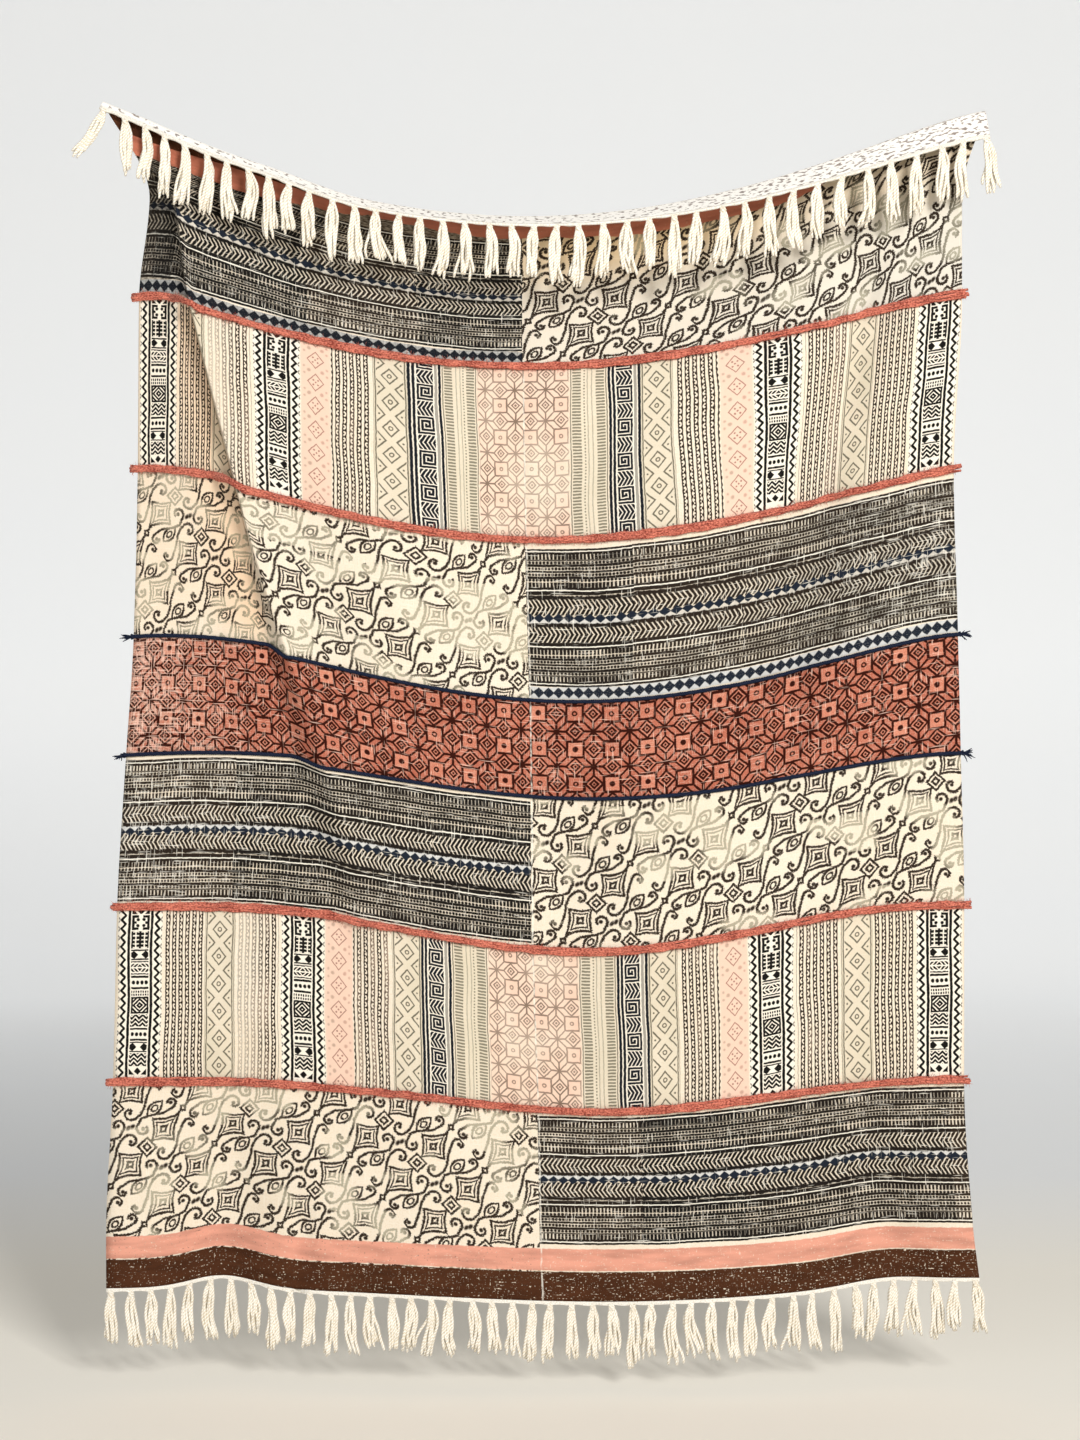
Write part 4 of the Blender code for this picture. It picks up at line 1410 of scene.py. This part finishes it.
def add_cloth_maps(piece, number, points, downs, across):
    """Where each point is on the flat cloth, and how far along the print it runs."""
    side = printed_side(across, downs).ravel()
    place = np.stack((side, downs.ravel()), axis=-1)
    add_uv(piece, "Cloth", np.concatenate((place, place)))
    steps = np.linalg.norm(np.diff(points[..., 1:], axis=0), axis=2)
    run = np.concatenate((np.zeros((1, downs.shape[1])), np.cumsum(steps, axis=0)))
    if number == 0:
        fold_row = FLAP_STEPS + ROLL_STEPS
        run = run - (run[fold_row] + PRINT_START - flap_length(across[fold_row]))
    place = np.stack((side, run.ravel()), axis=-1)
    add_uv(piece, "Print", np.concatenate((place, place)))


def build_band(number, fronts, backs):
    points, downs, across = band_grid(number)
    rows, columns = downs.shape
    offset = grid_normals(points) * (0.5 * CLOTH_THICKNESS)
    both_sides = np.concatenate(((points + offset).reshape(-1, 3), (points - offset).reshape(-1, 3)))
    faces, slots = band_faces(rows, columns, len(fronts))
    piece = mesh_piece(f"cloth_band_{number + 1}", both_sides, faces, (*fronts, *backs), slots)
    add_cloth_maps(piece, number, points, downs, across)
    u = np.tile(np.linspace(0.0, 1.0, columns), rows)
    v = np.repeat(np.linspace(0.0, 1.0, rows), columns)
    front_map = np.stack((u, 0.5 + 0.5 * v), axis=-1)
    back_map = np.stack((u, 0.5 * v), axis=-1)
    add_uv(piece, "OFBake", np.concatenate((front_map, back_map)))
    return piece


def tube_quads(index):
    """Faces of tubes from the numbers of their points, laid out as tube, ring and side."""
    near, far = index[:, :-1], index[:, 1:]
    after_far, after_near = np.roll(far, -1, axis=2), np.roll(near, -1, axis=2)
    return np.stack((near, far, after_far, after_near), axis=-1).reshape(-1, 4)


def tube_faces(index):
    """Faces of closed tubes: round them, and a cap at each end."""
    return tube_quads(index).tolist() + index[:, 0].tolist() + index[:, -1, ::-1].tolist()


def cells(count, columns, box):
    """Equal rectangles in a box of the bake map, one for each of count strands."""
    left, low, right, high = box
    rows = -(-count // columns)
    number = np.arange(count)
    width, height = (right - left) / columns, (high - low) / rows
    u = left + (number % columns) * width
    v = low + (number // columns) * height
    return np.stack((u + 0.06 * width, v + 0.06 * height, u + 0.94 * width, v + 0.94 * height), axis=-1)


class Strands:
    """Many tubes gathered into one mesh, each with its own place in the maps."""

    def __init__(self):
        self.points = []
        self.faces = []
        self.strand_map = []
        self.bake_map = []
        self.count = 0

    def add(self, paths, radii, sides, boxes, guide=(0.0, -1.0, 0.0)):
        """Tubes along paths of equal numbers of points; boxes are their places in the bake map."""
        paths = np.asarray(paths, float)
        count, steps = paths.shape[:2]
        radii = np.broadcast_to(radii, (count, steps))
        ahead = unit(np.gradient(paths, axis=1))
        side = unit(np.cross(ahead, np.array(guide)))
        out = np.cross(side, ahead)
        angles = np.linspace(0.0, 2.0 * math.pi, sides, endpoint=False)
        ring = side[:, :, None] * np.cos(angles)[:, None] + out[:, :, None] * np.sin(angles)[:, None]
        points = paths[:, :, None] + ring * radii[:, :, None, None]
        index = self.count + np.arange(count * steps * sides).reshape(count, steps, sides)
        self.points.append(points.reshape(-1, 3))
        self.faces += tube_faces(index)
        self.add_maps(paths, count, steps, sides, boxes)
        self.count += count * steps * sides

    def add_maps(self, paths, count, steps, sides, boxes):
        """Round the strand and along it, for every corner of every face."""
        pieces = np.linalg.norm(np.diff(paths, axis=1), axis=2)
        lengths = np.concatenate((np.zeros((count, 1)), np.cumsum(pieces, axis=1)), axis=1)
        total = np.maximum(lengths[:, -1:], 1e-6)
        turn = np.arange(sides + 1) / sides
        near, far = lengths[:, :-1], lengths[:, 1:]
        shape = (count, steps - 1, sides)
        first, after = np.broadcast_to(turn[:-1], shape), np.broadcast_to(turn[1:], shape)
        near, far = (np.broadcast_to(part[:, :, None], shape) for part in (near, far))
        around_quads = np.stack((first, first, after, after), axis=-1).reshape(count, -1)
        along_quads = np.stack((near, far, far, near), axis=-1).reshape(count, -1)
        around_caps = np.broadcast_to(turn[:-1], (count, sides))
        for around_part, along_part in (
            (around_quads, along_quads),
            (around_caps, np.zeros((count, sides))),
            (around_caps, np.broadcast_to(total, (count, sides))),
        ):
            seeds = (np.arange(count) * 0.37)[:, None]
            self.strand_map.append(np.stack((around_part + seeds, along_part), axis=-1).reshape(-1, 2))
            width = (boxes[:, 2] - boxes[:, 0])[:, None]
            height = (boxes[:, 3] - boxes[:, 1])[:, None]
            if width[0, 0] > height[0, 0]:
                u = boxes[:, :1] + width * along_part / total
                v = boxes[:, 1:2] + height * around_part
            else:
                u = boxes[:, :1] + width * around_part
                v = boxes[:, 1:2] + height * along_part / total
            self.bake_map.append(np.stack((u, v), axis=-1).reshape(-1, 2))

    def build(self, name, made):
        piece = mesh_piece(name, np.concatenate(self.points), self.faces, (made,))
        for label, values in (("Strand", self.strand_map), ("OFBake", self.bake_map)):
            layer = piece.data.uv_layers.new(name=label)
            layer.data.foreach_set("uv", np.concatenate(values).astype(np.float32).ravel())
        return piece


def object_place(tree):
    node = tree.nodes.new("ShaderNodeTexCoord")
    parts = tree.nodes.new("ShaderNodeSeparateXYZ")
    tree.links.new(node.outputs["Object"], parts.inputs[0])
    return [Number(socket) * 1000.0 for socket in parts.outputs]


def yarn_material(name, light, dark, twist, soft):
    """Spun yarn: plies that wind round, soft hairs and uneven dye, with painted shade where the plies and
    hairs lie low.
    """
    made, tree, shader = new_material(name)
    turn, along = map_place(tree, "Strand")
    ply = maths("SINE", (turn * 0.002 + along * (1.0 / twist)) * (2.0 * math.pi))
    x, _, z = object_place(tree)
    hairs = noise(x, z, 1.3 + 1.7 * soft, 1.3 + 0.7 * soft, 61.0, 3.0)
    dye = noise(x, z, 24.0, seed=62.0)
    # Painted shade: the colour follows the bump of the plies and hairs, darker where they lie low; patches of
    # uneven dye are laid on top
    lightness_and_painted_shade = ply * (1.0 - soft) * 0.3 + hairs * (0.9 + 0.5 * soft) + dye * 0.5
    share = ramp(lightness_and_painted_shade, 0.42 + 0.33 * soft, 1.0 + 0.12 * soft)
    put(tree, shader.inputs["Base Color"], blend(tree, dark, light, share))
    shader.inputs["Sheen Weight"].default_value = 0.10 * soft
    shader.inputs["Sheen Roughness"].default_value = 0.6
    put(tree, shader.inputs["Roughness"], ramp(hairs, 0.3, 0.7, 0.85, 1.0))
    bump(tree, shader, ply * (1.0 - soft) + hairs * 2.0, 0.5, 0.0006)
    return made


def hem_material():
    made, tree, shader = new_material("white hem")
    x, y = map_place(tree, "Cloth")
    patches = noise(x, y, 2.2, seed=81.0)
    put(tree, shader.inputs["Base Color"], blend(tree, IVORY_LIGHT, IVORY_DARK, ramp(patches, 0.42, 0.80)))
    bump(tree, shader, weave_height(x, y), 0.6, 0.0009)
    return made


def off_the_face(down, across, out, rise):
    """Points in front of the face: out from it, and rise up the cloth from the row at down."""
    row = down - rise
    here = face_point(across, row, True)
    right = face_point(np.minimum(across + SLOPE_STEP, 1.0), row, True)
    left = face_point(np.maximum(across - SLOPE_STEP, 0.0), row, True)
    lower = face_point(across, row + SLOPE_STEP, True)
    upper = face_point(across, row - SLOPE_STEP, True)
    normal = unit(np.cross(lower - upper, right - left))
    return here + normal * np.asarray(out)[..., None], normal


def extend_ends(path, start_extra, end_extra):
    """Carry a path on past both of its ends."""
    start = path[0] + unit(path[0] - path[2]) * start_extra
    end = path[-1] + unit(path[-1] - path[-3]) * end_extra
    return np.concatenate((start[None], path, end[None]))


CORAL_LIGHT = (0.68, 0.215, 0.145)
CORAL_DARK = (0.20, 0.028, 0.018)
NAVY_LIGHT = (0.020, 0.028, 0.055)
NAVY_DARK = (0.008, 0.011, 0.026)
IVORY_LIGHT = (0.96, 0.93, 0.86)
IVORY_DARK = (0.70, 0.61, 0.46)

# How finely the coral yarns are cut, how many strands each has side by side, its stray hairs,
# how far apart its strands lie and how far off the cloth
YARN_COLUMNS = 220
CORAL_STRANDS = 6
CORAL_HAIRS = 3000
CORAL_SPREAD = 0.0038
CORAL_OFF = 0.0046


def build_coral_yarn(name, down, made, rng):
    """A soft bundle of spun strands couched across the face, with hairs and frayed ends."""
    strands = Strands()
    across = np.linspace(0.0, 1.0, YARN_COLUMNS + 1)
    side = across * CLOTH_WIDTH
    paths, radii = [], []
    for strand in range(CORAL_STRANDS):
        lane = (strand - 0.5 * (CORAL_STRANDS - 1)) / (0.5 * (CORAL_STRANDS - 1))
        wander = np.sin(side * rng.uniform(9.0, 17.0) + rng.uniform(0.0, 6.28))
        rise = CORAL_SPREAD * lane + 0.0012 * wander + 0.0005 * np.sin(side * 160.0 + strand * 2.1)
        out = CORAL_OFF + 0.0016 * (1.0 - lane * lane) + 0.0007 * np.sin(side * 23.0 + strand * 1.3)
        path, _ = off_the_face(down, across, out, rise)
        paths.append(extend_ends(path, rng.uniform(0.004, 0.011), rng.uniform(0.004, 0.011)))
        slubs = np.linspace(0.0, rng.uniform(120.0, 190.0), len(path) + 2)
        radii.append(0.0021 + 0.0005 * np.sin(slubs + strand))
    strands.add(paths, radii, 6, cells(CORAL_STRANDS, 1, (0.0, 0.0, 1.0, 0.6)))
    hairs, hair_radii = yarn_hairs(down, rng)
    hair_cells = cells(CORAL_HAIRS, 75, (0.0, 0.62, 1.0, 1.0))
    strands.add(hairs, hair_radii, 3, hair_cells, guide=(1.0, 0.1, 0.0))
    return strands.build(name, made)


def yarn_hairs(down, rng):
    """Short stray fibres that stand off a yarn all round, and past its ends."""
    across = rng.uniform(-0.006, 1.006, CORAL_HAIRS)
    on_cloth = np.clip(across, 0.0, 1.0)
    turn = rng.uniform(0.15 * math.pi, 0.85 * math.pi, CORAL_HAIRS)
    turn = turn + math.pi * rng.integers(0, 2, CORAL_HAIRS)
    turn = np.where(rng.uniform(size=CORAL_HAIRS) < 0.35, rng.uniform(-0.4, 0.4, CORAL_HAIRS), turn)
    out, rise = CORAL_OFF + 0.0012 * np.cos(turn), 0.0052 * np.sin(turn)
    base, normal = off_the_face(down, on_cloth, out, rise)
    base[:, 0] += (across - on_cloth) * CLOTH_WIDTH
    up = np.array((0.0, 0.0, 1.0))
    outward = up * np.sin(turn)[:, None] + normal * np.maximum(np.cos(turn), 0.25)[:, None]
    outward = unit(outward + rng.normal(0.0, 0.5, (CORAL_HAIRS, 3)))
    length = rng.uniform(0.0022, 0.0055, CORAL_HAIRS)[:, None]
    bend = rng.normal(0.0, 0.0007, (CORAL_HAIRS, 3))
    half_way = base + outward * length * 0.5 + bend
    paths = np.stack((base, half_way, base + outward * length + bend * 2.4), axis=1)
    paths[:, :, 1] = np.minimum(paths[:, :, 1], base[:, 1:2] + 0.001)
    return paths, (0.00026, 0.00022, 0.00010)


# How finely the navy cords are cut, their plies, how long a ply takes to wind round once, and the
# frayed threads at each end
CORD_COLUMNS = 420
CORD_PLIES = 3
CORD_TWIST = 0.0115
CORD_FRAYS = 14
FRAY_STEPS = (0.0, 0.35, 0.7, 1.0)


def build_navy_cord(name, down, made, rng):
    """A hard cord of three plies, with frayed ends."""
    strands = Strands()
    across = np.linspace(0.0, 1.0, CORD_COLUMNS + 1)
    side = across * CLOTH_WIDTH
    paths = []
    for ply in range(CORD_PLIES):
        wind = 2.0 * math.pi * ply / CORD_PLIES + side * (2.0 * math.pi / CORD_TWIST)
        path, _ = off_the_face(down, across, 0.0035 + 0.0014 * np.cos(wind), 0.0015 * np.sin(wind))
        paths.append(extend_ends(path, 0.004, 0.004))
    strands.add(paths, 0.0020, 5, cells(CORD_PLIES, 1, (0.0, 0.0, 1.0, 0.7)))
    frays = cord_frays(down, 0.0, rng) + cord_frays(down, 1.0, rng)
    fray_cells = cells(len(frays), 10, (0.0, 0.72, 1.0, 1.0))
    strands.add(frays, (0.0011, 0.0011, 0.0009, 0.0005), 4, fray_cells, (0.0, 0.3, 1.0))
    return strands.build(name, made)


def cord_frays(down, end, rng):
    """Loose threads past one end of a cord."""
    base, _ = off_the_face(down, np.array((end, abs(end - 0.004))), 0.0031, 0.0)
    outward = unit(base[0] - base[1])
    start = base[0] + outward * 0.002
    frays = []
    for _ in range(CORD_FRAYS):
        lean = unit(outward + rng.normal(0.0, 0.30, 3) + np.array((0.0, -0.1, -0.1)))
        bend = rng.normal(0.0, 0.0013, 3)
        length = rng.uniform(0.010, 0.017)
        frays.append([start + lean * length * share + bend * share * share * 2.0 for share in FRAY_STEPS])
    return frays


# The tassels of each hem, as in the CAD part: their number, the width of a root, their length
# and how far they differ, shift and lean
TOP_TASSELS = 40
BOTTOM_TASSELS = 44
LOCKS_PER_TASSEL = 3
ROOT_WIDTH = 0.0045
TASSEL_LENGTH = 0.084
TASSEL_UNEVEN = 0.009
TASSEL_SHIFT = 0.06
TASSEL_LEAN = math.radians(3.0)
CORNER_LEAN = math.radians(30)

# The spun cords of one tassel, in front and behind, and how finely they are cut
CORDS_IN_FRONT = 5
CORDS_BEHIND = 4
TASSEL_STEPS = 14
TASSEL_CLEARANCE = 0.0055

# The shape of a tassel's cord: its radius at shares of its length
CORD_SHAPE = (
    (0.0, 0.0015), (0.07, 0.0014), (0.16, 0.0020), (0.5, 0.0023), (0.93, 0.0022), (1.0, 0.0015),
)

# The lower hem and its tassels go on in the direction of this last stretch of the cloth
LAST_STRETCH = 0.051

# The hem's outline from its root round its rolled edge, as shares of its height and metres out
HEM_OUTLINE = np.array((
    (0.0, -0.0011), (0.25, -0.0013), (0.55, -0.0012), (0.78, -0.0020), (0.95, -0.0017), (1.0, 0.0),
    (0.95, 0.0017), (0.78, 0.0020), (0.55, 0.0012), (0.25, 0.0013), (0.0, 0.0011),
))
HEM_SHARE = 0.66


def hem_edges(at_top, across):
    """The hem's edge, and the way on from it, at places along it."""
    if at_top:
        rows, hanging = roll_and_flap(across)
        return rows[-1], hanging
    edge = face_point(across, SHEET_END)
    inner = face_point(across, SHEET_END - LAST_STRETCH)
    return edge, unit(edge - inner)


def build_hem(name, at_top, made):
    """The white hem that the tassels hang from: a narrow band of bare cloth, rolled at its edge."""
    across = np.linspace(0.0, 1.0, COLUMNS + 1)
    edge, fall = hem_edges(at_top, across)
    along = unit(np.gradient(edge, axis=0))
    front = unit(np.cross(along, fall))
    front = np.where(front[:, 1:2] > 0.0, -front, front)
    down_hem, out_of_hem = HEM_OUTLINE.T
    lumps = np.sin(across * 2.0 * math.pi * (TOP_TASSELS if at_top else BOTTOM_TASSELS)) * 0.08
    lumps = lumps + 0.05 * np.sin(across * 310.0) + 0.04 * np.sin(across * 173.0)
    height = STRIP_HEIGHT * HEM_SHARE * (1.0 + lumps)
    points = (
        edge[:, None] + fall[:, None] * (down_hem * height[:, None])[..., None]
        + front[:, None] * (out_of_hem * (1.0 + lumps * 2.0)[:, None])[..., None]
    )
    index = np.arange(points[..., 0].size).reshape(1, COLUMNS + 1, len(HEM_OUTLINE))
    piece = mesh_piece(name, points.reshape(-1, 3), tube_faces(index), (made,))
    side = ((across - 0.5) * CLOTH_WIDTH)[:, None]
    round_hem = STRIP_HEIGHT * down_hem * np.sign(out_of_hem + 0.0001)
    place = np.stack(np.broadcast_arrays(side, round_hem), axis=-1).reshape(-1, 2)
    add_uv(piece, "Cloth", place)
    u = place[:, 0] / CLOTH_WIDTH + 0.5
    v = place[:, 1] / STRIP_HEIGHT * 0.45 + 0.5
    add_uv(piece, "OFBake", np.stack((u, v), axis=-1))
    return piece


def face_depth_behind(x, z):
    """Depth of the face behind points seen from the front."""
    across = np.clip(0.5 + x / CLOTH_WIDTH, 0.0, 1.0)
    down = np.full_like(x, 0.2)
    for _ in range(12):
        here = face_point(across, down, True)
        across = np.clip(across + (x - here[..., 0]) / CLOTH_WIDTH, 0.0, 1.0)
        down = np.clip(down + here[..., 2] - z, flap_length(across), SHEET_END)
    return face_point(across, down, True)[..., 1]


def tassel_lean(tassel, tassels, at_top):
    if at_top and tassel == 0:
        return -CORNER_LEAN
    if tassel == tassels - 1:
        return CORNER_LEAN * 0.2
    return TASSEL_LEAN * math.sin(1.1 * tassel)


def tassel_middles(tassels):
    half = ROOT_WIDTH * LOCKS_PER_TASSEL / CLOTH_WIDTH / 2.0
    pitch = (1.0 - 2.0 * half) / (tassels - 1)
    middles = half + pitch * np.arange(tassels)
    for tassel in range(1, tassels - 1):
        middles[tassel] += TASSEL_SHIFT * pitch * uneven(tassel, 1)
    return middles


def tassel_cords(root, lean, length, rng):
    """Cords of one tassel: drawn together at its neck, fuller below, ragged at the ends."""
    steps = np.linspace(0.0, 1.0, TASSEL_STEPS)
    swing = np.array((math.sin(lean), 0.0, -math.cos(lean)))
    wide = rng.uniform(0.0062, 0.0082)
    width = np.interp(steps, (0.0, 0.07, 0.14, 0.30, 0.60, 1.0), (0.0030, 0.0024, 0.0040, 0.0060, wide, wide))
    bow = rng.uniform(-0.0045, 0.0045) * np.sin(steps * math.pi * rng.uniform(0.7, 1.5))
    bend = rng.uniform(-0.003, 0.003)
    paths = []
    lanes = [(place, -1.0) for place in np.linspace(-1.0, 1.0, CORDS_IN_FRONT)]
    lanes += [(place, 1.0) for place in np.linspace(-0.75, 0.75, CORDS_BEHIND)]
    for place, layer in lanes:
        reach = length * (1.0 + rng.uniform(-0.17, 0.03))
        stray = rng.uniform(-0.016, 0.016) * smooth(steps * 1.2 - 0.2) if rng.uniform() < 0.05 else 0.0
        wave = 0.0013 * np.sin(steps * rng.uniform(5.0, 10.0) + rng.uniform(0.0, 6.28)) * smooth(steps * 3.0)
        flick = rng.uniform(-0.004, 0.004) * smooth(steps * 3.0 - 2.0)
        aside = (place + rng.uniform(-0.16, 0.16)) * width + wave + flick + bow + stray
        outward = layer * np.interp(steps, (0.0, 0.1, 0.4, 1.0), (0.0010, 0.0012, 0.0020, 0.0022))
        outward = outward + rng.uniform(-0.0008, 0.0008) * steps + bend * steps * steps
        paths.append(np.stack((
            root[0] + swing[0] * steps * reach + aside, root[1] + outward, root[2] + swing[2] * steps * reach,
        ), axis=-1))
    return paths


def build_tassels(name, at_top, tassels, made, rng):
    """Knotted tassels of spun cords under a hem."""
    middles = tassel_middles(tassels)
    edges, falls = hem_edges(at_top, middles)
    roots = edges + falls * (STRIP_GAP + STRIP_HEIGHT * 0.32)
    paths, knots = [], []
    for tassel, root in enumerate(roots):
        lean = tassel_lean(tassel, tassels, at_top)
        length = TASSEL_LENGTH + TASSEL_UNEVEN * uneven(tassel, 3)
        cords = tassel_cords(root, lean, length, rng)
        paths += cords
        knots += tassel_knots(np.mean([cord[1] for cord in cords], axis=0), rng)
    paths = np.array(paths)
    if at_top:
        keep_before_the_face(paths)
    along = np.linspace(0.0, 1.0, TASSEL_STEPS)
    radii = np.interp(along, *zip(*CORD_SHAPE))
    strands = Strands()
    cord_cells = cells(len(paths), math.ceil(math.sqrt(len(paths))), (0.0, 0.0, 1.0, 0.85))
    strands.add(paths, radii, 6, cord_cells)
    strands.add(knots, 0.0017, 5, cells(len(knots), 30, (0.0, 0.86, 1.0, 1.0)), (0.0, 0.1, 1.0))
    return strands.build(name, made)


def tassel_knots(middle, rng):
    """Two turns of thread round a tassel's neck."""
    angles = np.linspace(0.0, 2.0 * math.pi, 10)
    turns = []
    for turn in range(2):
        tilt = rng.uniform(-0.5, 0.5)
        x = middle[0] + 0.0036 * np.cos(angles)
        y = middle[1] + 0.0030 * np.sin(angles)
        z = middle[2] + 0.0006 - 0.0024 * turn + 0.0016 * tilt * np.cos(angles)
        turns.append(np.stack((x, y, z), axis=-1))
    return turns


def keep_before_the_face(paths):
    """Bring the cords of the top tassels forward to where they clear the cloth behind them."""
    shape = paths.shape[:2]
    behind = face_depth_behind(paths[..., 0].ravel(), paths[..., 2].ravel()).reshape(shape)
    layer = paths[..., 1] - paths[:, :1, 1]
    nearest = behind - TASSEL_CLEARANCE + np.clip(layer, -0.003, 0.002)
    paths[..., 1] = np.minimum(paths[..., 1], nearest)


SENSOR_WIDTH = 36.0
LENS = 55.17


def build_camera():
    data = bpy.data.cameras.new("camera")
    data.sensor_width = SENSOR_WIDTH
    data.lens = LENS
    camera = bpy.data.objects.new("camera", data)
    camera.location = (0.0, -VIEW_DISTANCE, VIEW_HEIGHT)
    camera.rotation_euler = (math.radians(90.0), 0.0, 0.0)
    bpy.context.scene.collection.objects.link(camera)
    bpy.context.scene.camera = camera


def add_light(name, place, target, energy, width, colour):
    """A square panel of light at a place, turned to a target."""
    data = bpy.data.lights.new(name, "AREA")
    data.energy = energy
    data.color = colour
    data.shape = "RECTANGLE"
    data.size = data.size_y = width
    light = bpy.data.objects.new(name, data)
    light.location = place
    direction = np.array(target) - np.array(place)
    light.rotation_euler = Vector(direction).to_track_quat("-Z", "Y").to_euler()
    bpy.context.scene.collection.objects.link(light)


# The stage, in metres: how wide it is, and where and how its floor sweeps up into a wall
FLOOR_HEIGHT = -1.70
WALL_TOP = 5.0
STAGE_HALF_WIDTH = 12.0
SWEEP_PLACE = 4.5
SWEEP_RADIUS = 1.2
SWEEP_STEPS = 16
FLOOR_COLOUR = (0.88, 0.84, 0.76)
WALL_COLOUR = (0.80, 0.81, 0.82)
WALL_GLOW_COLOUR = (0.97, 0.99, 1.0, 1.0)
WALL_GLOW = 0.27


def stage_material():
    """Pale matt paper: warm in front, and cooler and glowing toward the wall."""
    made, tree, shader = new_material("pale paper")
    x, y, z = object_place(tree)
    patches = noise(x, y + z, 400.0, seed=71.0)
    wall = ramp(y, 700.0, 1500.0)
    colour = blend(tree, FLOOR_COLOUR, WALL_COLOUR, wall)
    put(tree, shader.inputs["Base Color"], blend(tree, colour, PALE_THREAD, patches * 0.15))
    shader.inputs["Emission Color"].default_value = WALL_GLOW_COLOUR
    put(tree, shader.inputs["Emission Strength"], ramp(y, 600.0, 5000.0, 0.0, WALL_GLOW))
    return made


def build_stage():
    """A floor that sweeps up into a wall, well behind the cloth so that its reverse can be seen."""
    turns = np.linspace(0.0, math.pi / 2.0, SWEEP_STEPS + 1)
    profile = [(-STAGE_HALF_WIDTH, FLOOR_HEIGHT)]
    for turn in turns:
        y = SWEEP_PLACE + SWEEP_RADIUS * math.sin(turn)
        profile.append((y, FLOOR_HEIGHT + SWEEP_RADIUS * (1.0 - math.cos(turn))))
    profile.append((SWEEP_PLACE + SWEEP_RADIUS, WALL_TOP))
    points = [(side, y, z) for y, z in profile for side in (-STAGE_HALF_WIDTH, STAGE_HALF_WIDTH)]
    faces = [(2 * row, 2 * row + 1, 2 * row + 3, 2 * row + 2) for row in range(len(profile) - 1)]
    mesh_piece("floor", points, faces, (stage_material(),))


# The light: a warm key light from the upper right, a weak cool fill from the left and the world
KEY_COLOUR = (1.0, 0.985, 0.96)
FILL_COLOUR = (0.96, 0.98, 1.0)
WORLD_COLOUR = (1.0, 0.99, 0.97, 1.0)
WORLD_STRENGTH = 0.35


def build_light():
    world = bpy.data.worlds.new("studio")
    world.use_nodes = True
    background = world.node_tree.nodes["Background"]
    background.inputs["Color"].default_value = WORLD_COLOUR
    background.inputs["Strength"].default_value = WORLD_STRENGTH
    bpy.context.scene.world = world
    add_light("key light", (2.3, -5.2, 1.6), (-0.15, 0.0, -0.85), 330.0, 1.6, KEY_COLOUR)
    add_light("fill light", (-2.6, -3.4, -0.4), (-0.2, 0.0, -1.0), 36.0, 2.4, FILL_COLOUR)
    bpy.context.scene.view_settings.view_transform = "Standard"


def declare(piece, slot, *nodes):
    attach(piece, "root")
    if nodes:
        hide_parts(*nodes)


def build_cloth_bands():
    bands = []
    for number, (left, right) in enumerate(band_painters()):
        sides = [("left", left), ("right", right)] if right else [("", left)]
        fronts, backs = [], []
        for side, painters in sides:
            label = f"band {number + 1} {side}".strip()
            fronts.append(cloth_material(label, painters))
            backs.append(cloth_material(f"band {number + 1} {side} reverse", painters, True))
        band = build_band(number, fronts, backs)
        declare(band, "printed_cotton", "cloth")
        bands.append(band)
    return bands


def build_yarns_and_cords(rng):
    coral = yarn_material("coral wool", CORAL_LIGHT, CORAL_DARK, 6.0, 1.0)
    navy = yarn_material("navy cotton", NAVY_LIGHT, NAVY_DARK, 3.0, 0.0)
    for number, row in enumerate((ROWS[2], ROWS[3], ROWS[6], ROWS[7]), 1):
        yarn = build_coral_yarn(f"coral_yarn_bundle_{number}", row.down, coral, rng)
        declare(yarn, "coral_yarn", f"coral_yarn_{number}")
    for number, row in enumerate((ROWS[4], ROWS[5]), 1):
        cord = build_navy_cord(f"navy_twist_{number}", row.down, navy, rng)
        declare(cord, "navy_cord", f"navy_cord_{number}")


def build_fringes(rng):
    """The hem and the tassels of the top, then those of the bottom."""
    ivory = yarn_material("ivory cotton", IVORY_LIGHT, IVORY_DARK, 5.0, 0.2)
    bare = hem_material()
    fringes = []
    for place, at_top, tassels in (("top", True, TOP_TASSELS), ("bottom", False, BOTTOM_TASSELS)):
        hem = build_hem(f"{place}_hem", at_top, bare)
        fringe = build_tassels(f"{place}_tassels", at_top, tassels, ivory, rng)
        for piece in (hem, fringe):
            declare(piece, "ivory_fringe", f"{place}_fringe")
        fringes.append([hem, fringe])
    return fringes


def main():
    build_camera()
    build_light()
    build_stage()
    rng = np.random.default_rng(7)
    bands = build_cloth_bands()
    build_yarns_and_cords(rng)
    top_fringe, bottom_fringe = build_fringes(rng)
    joins = (SHEET_START, *BAND_JOINS, SHEET_END)
    for number, band in enumerate(bands):
        height = joins[number + 1] - joins[number]


main()
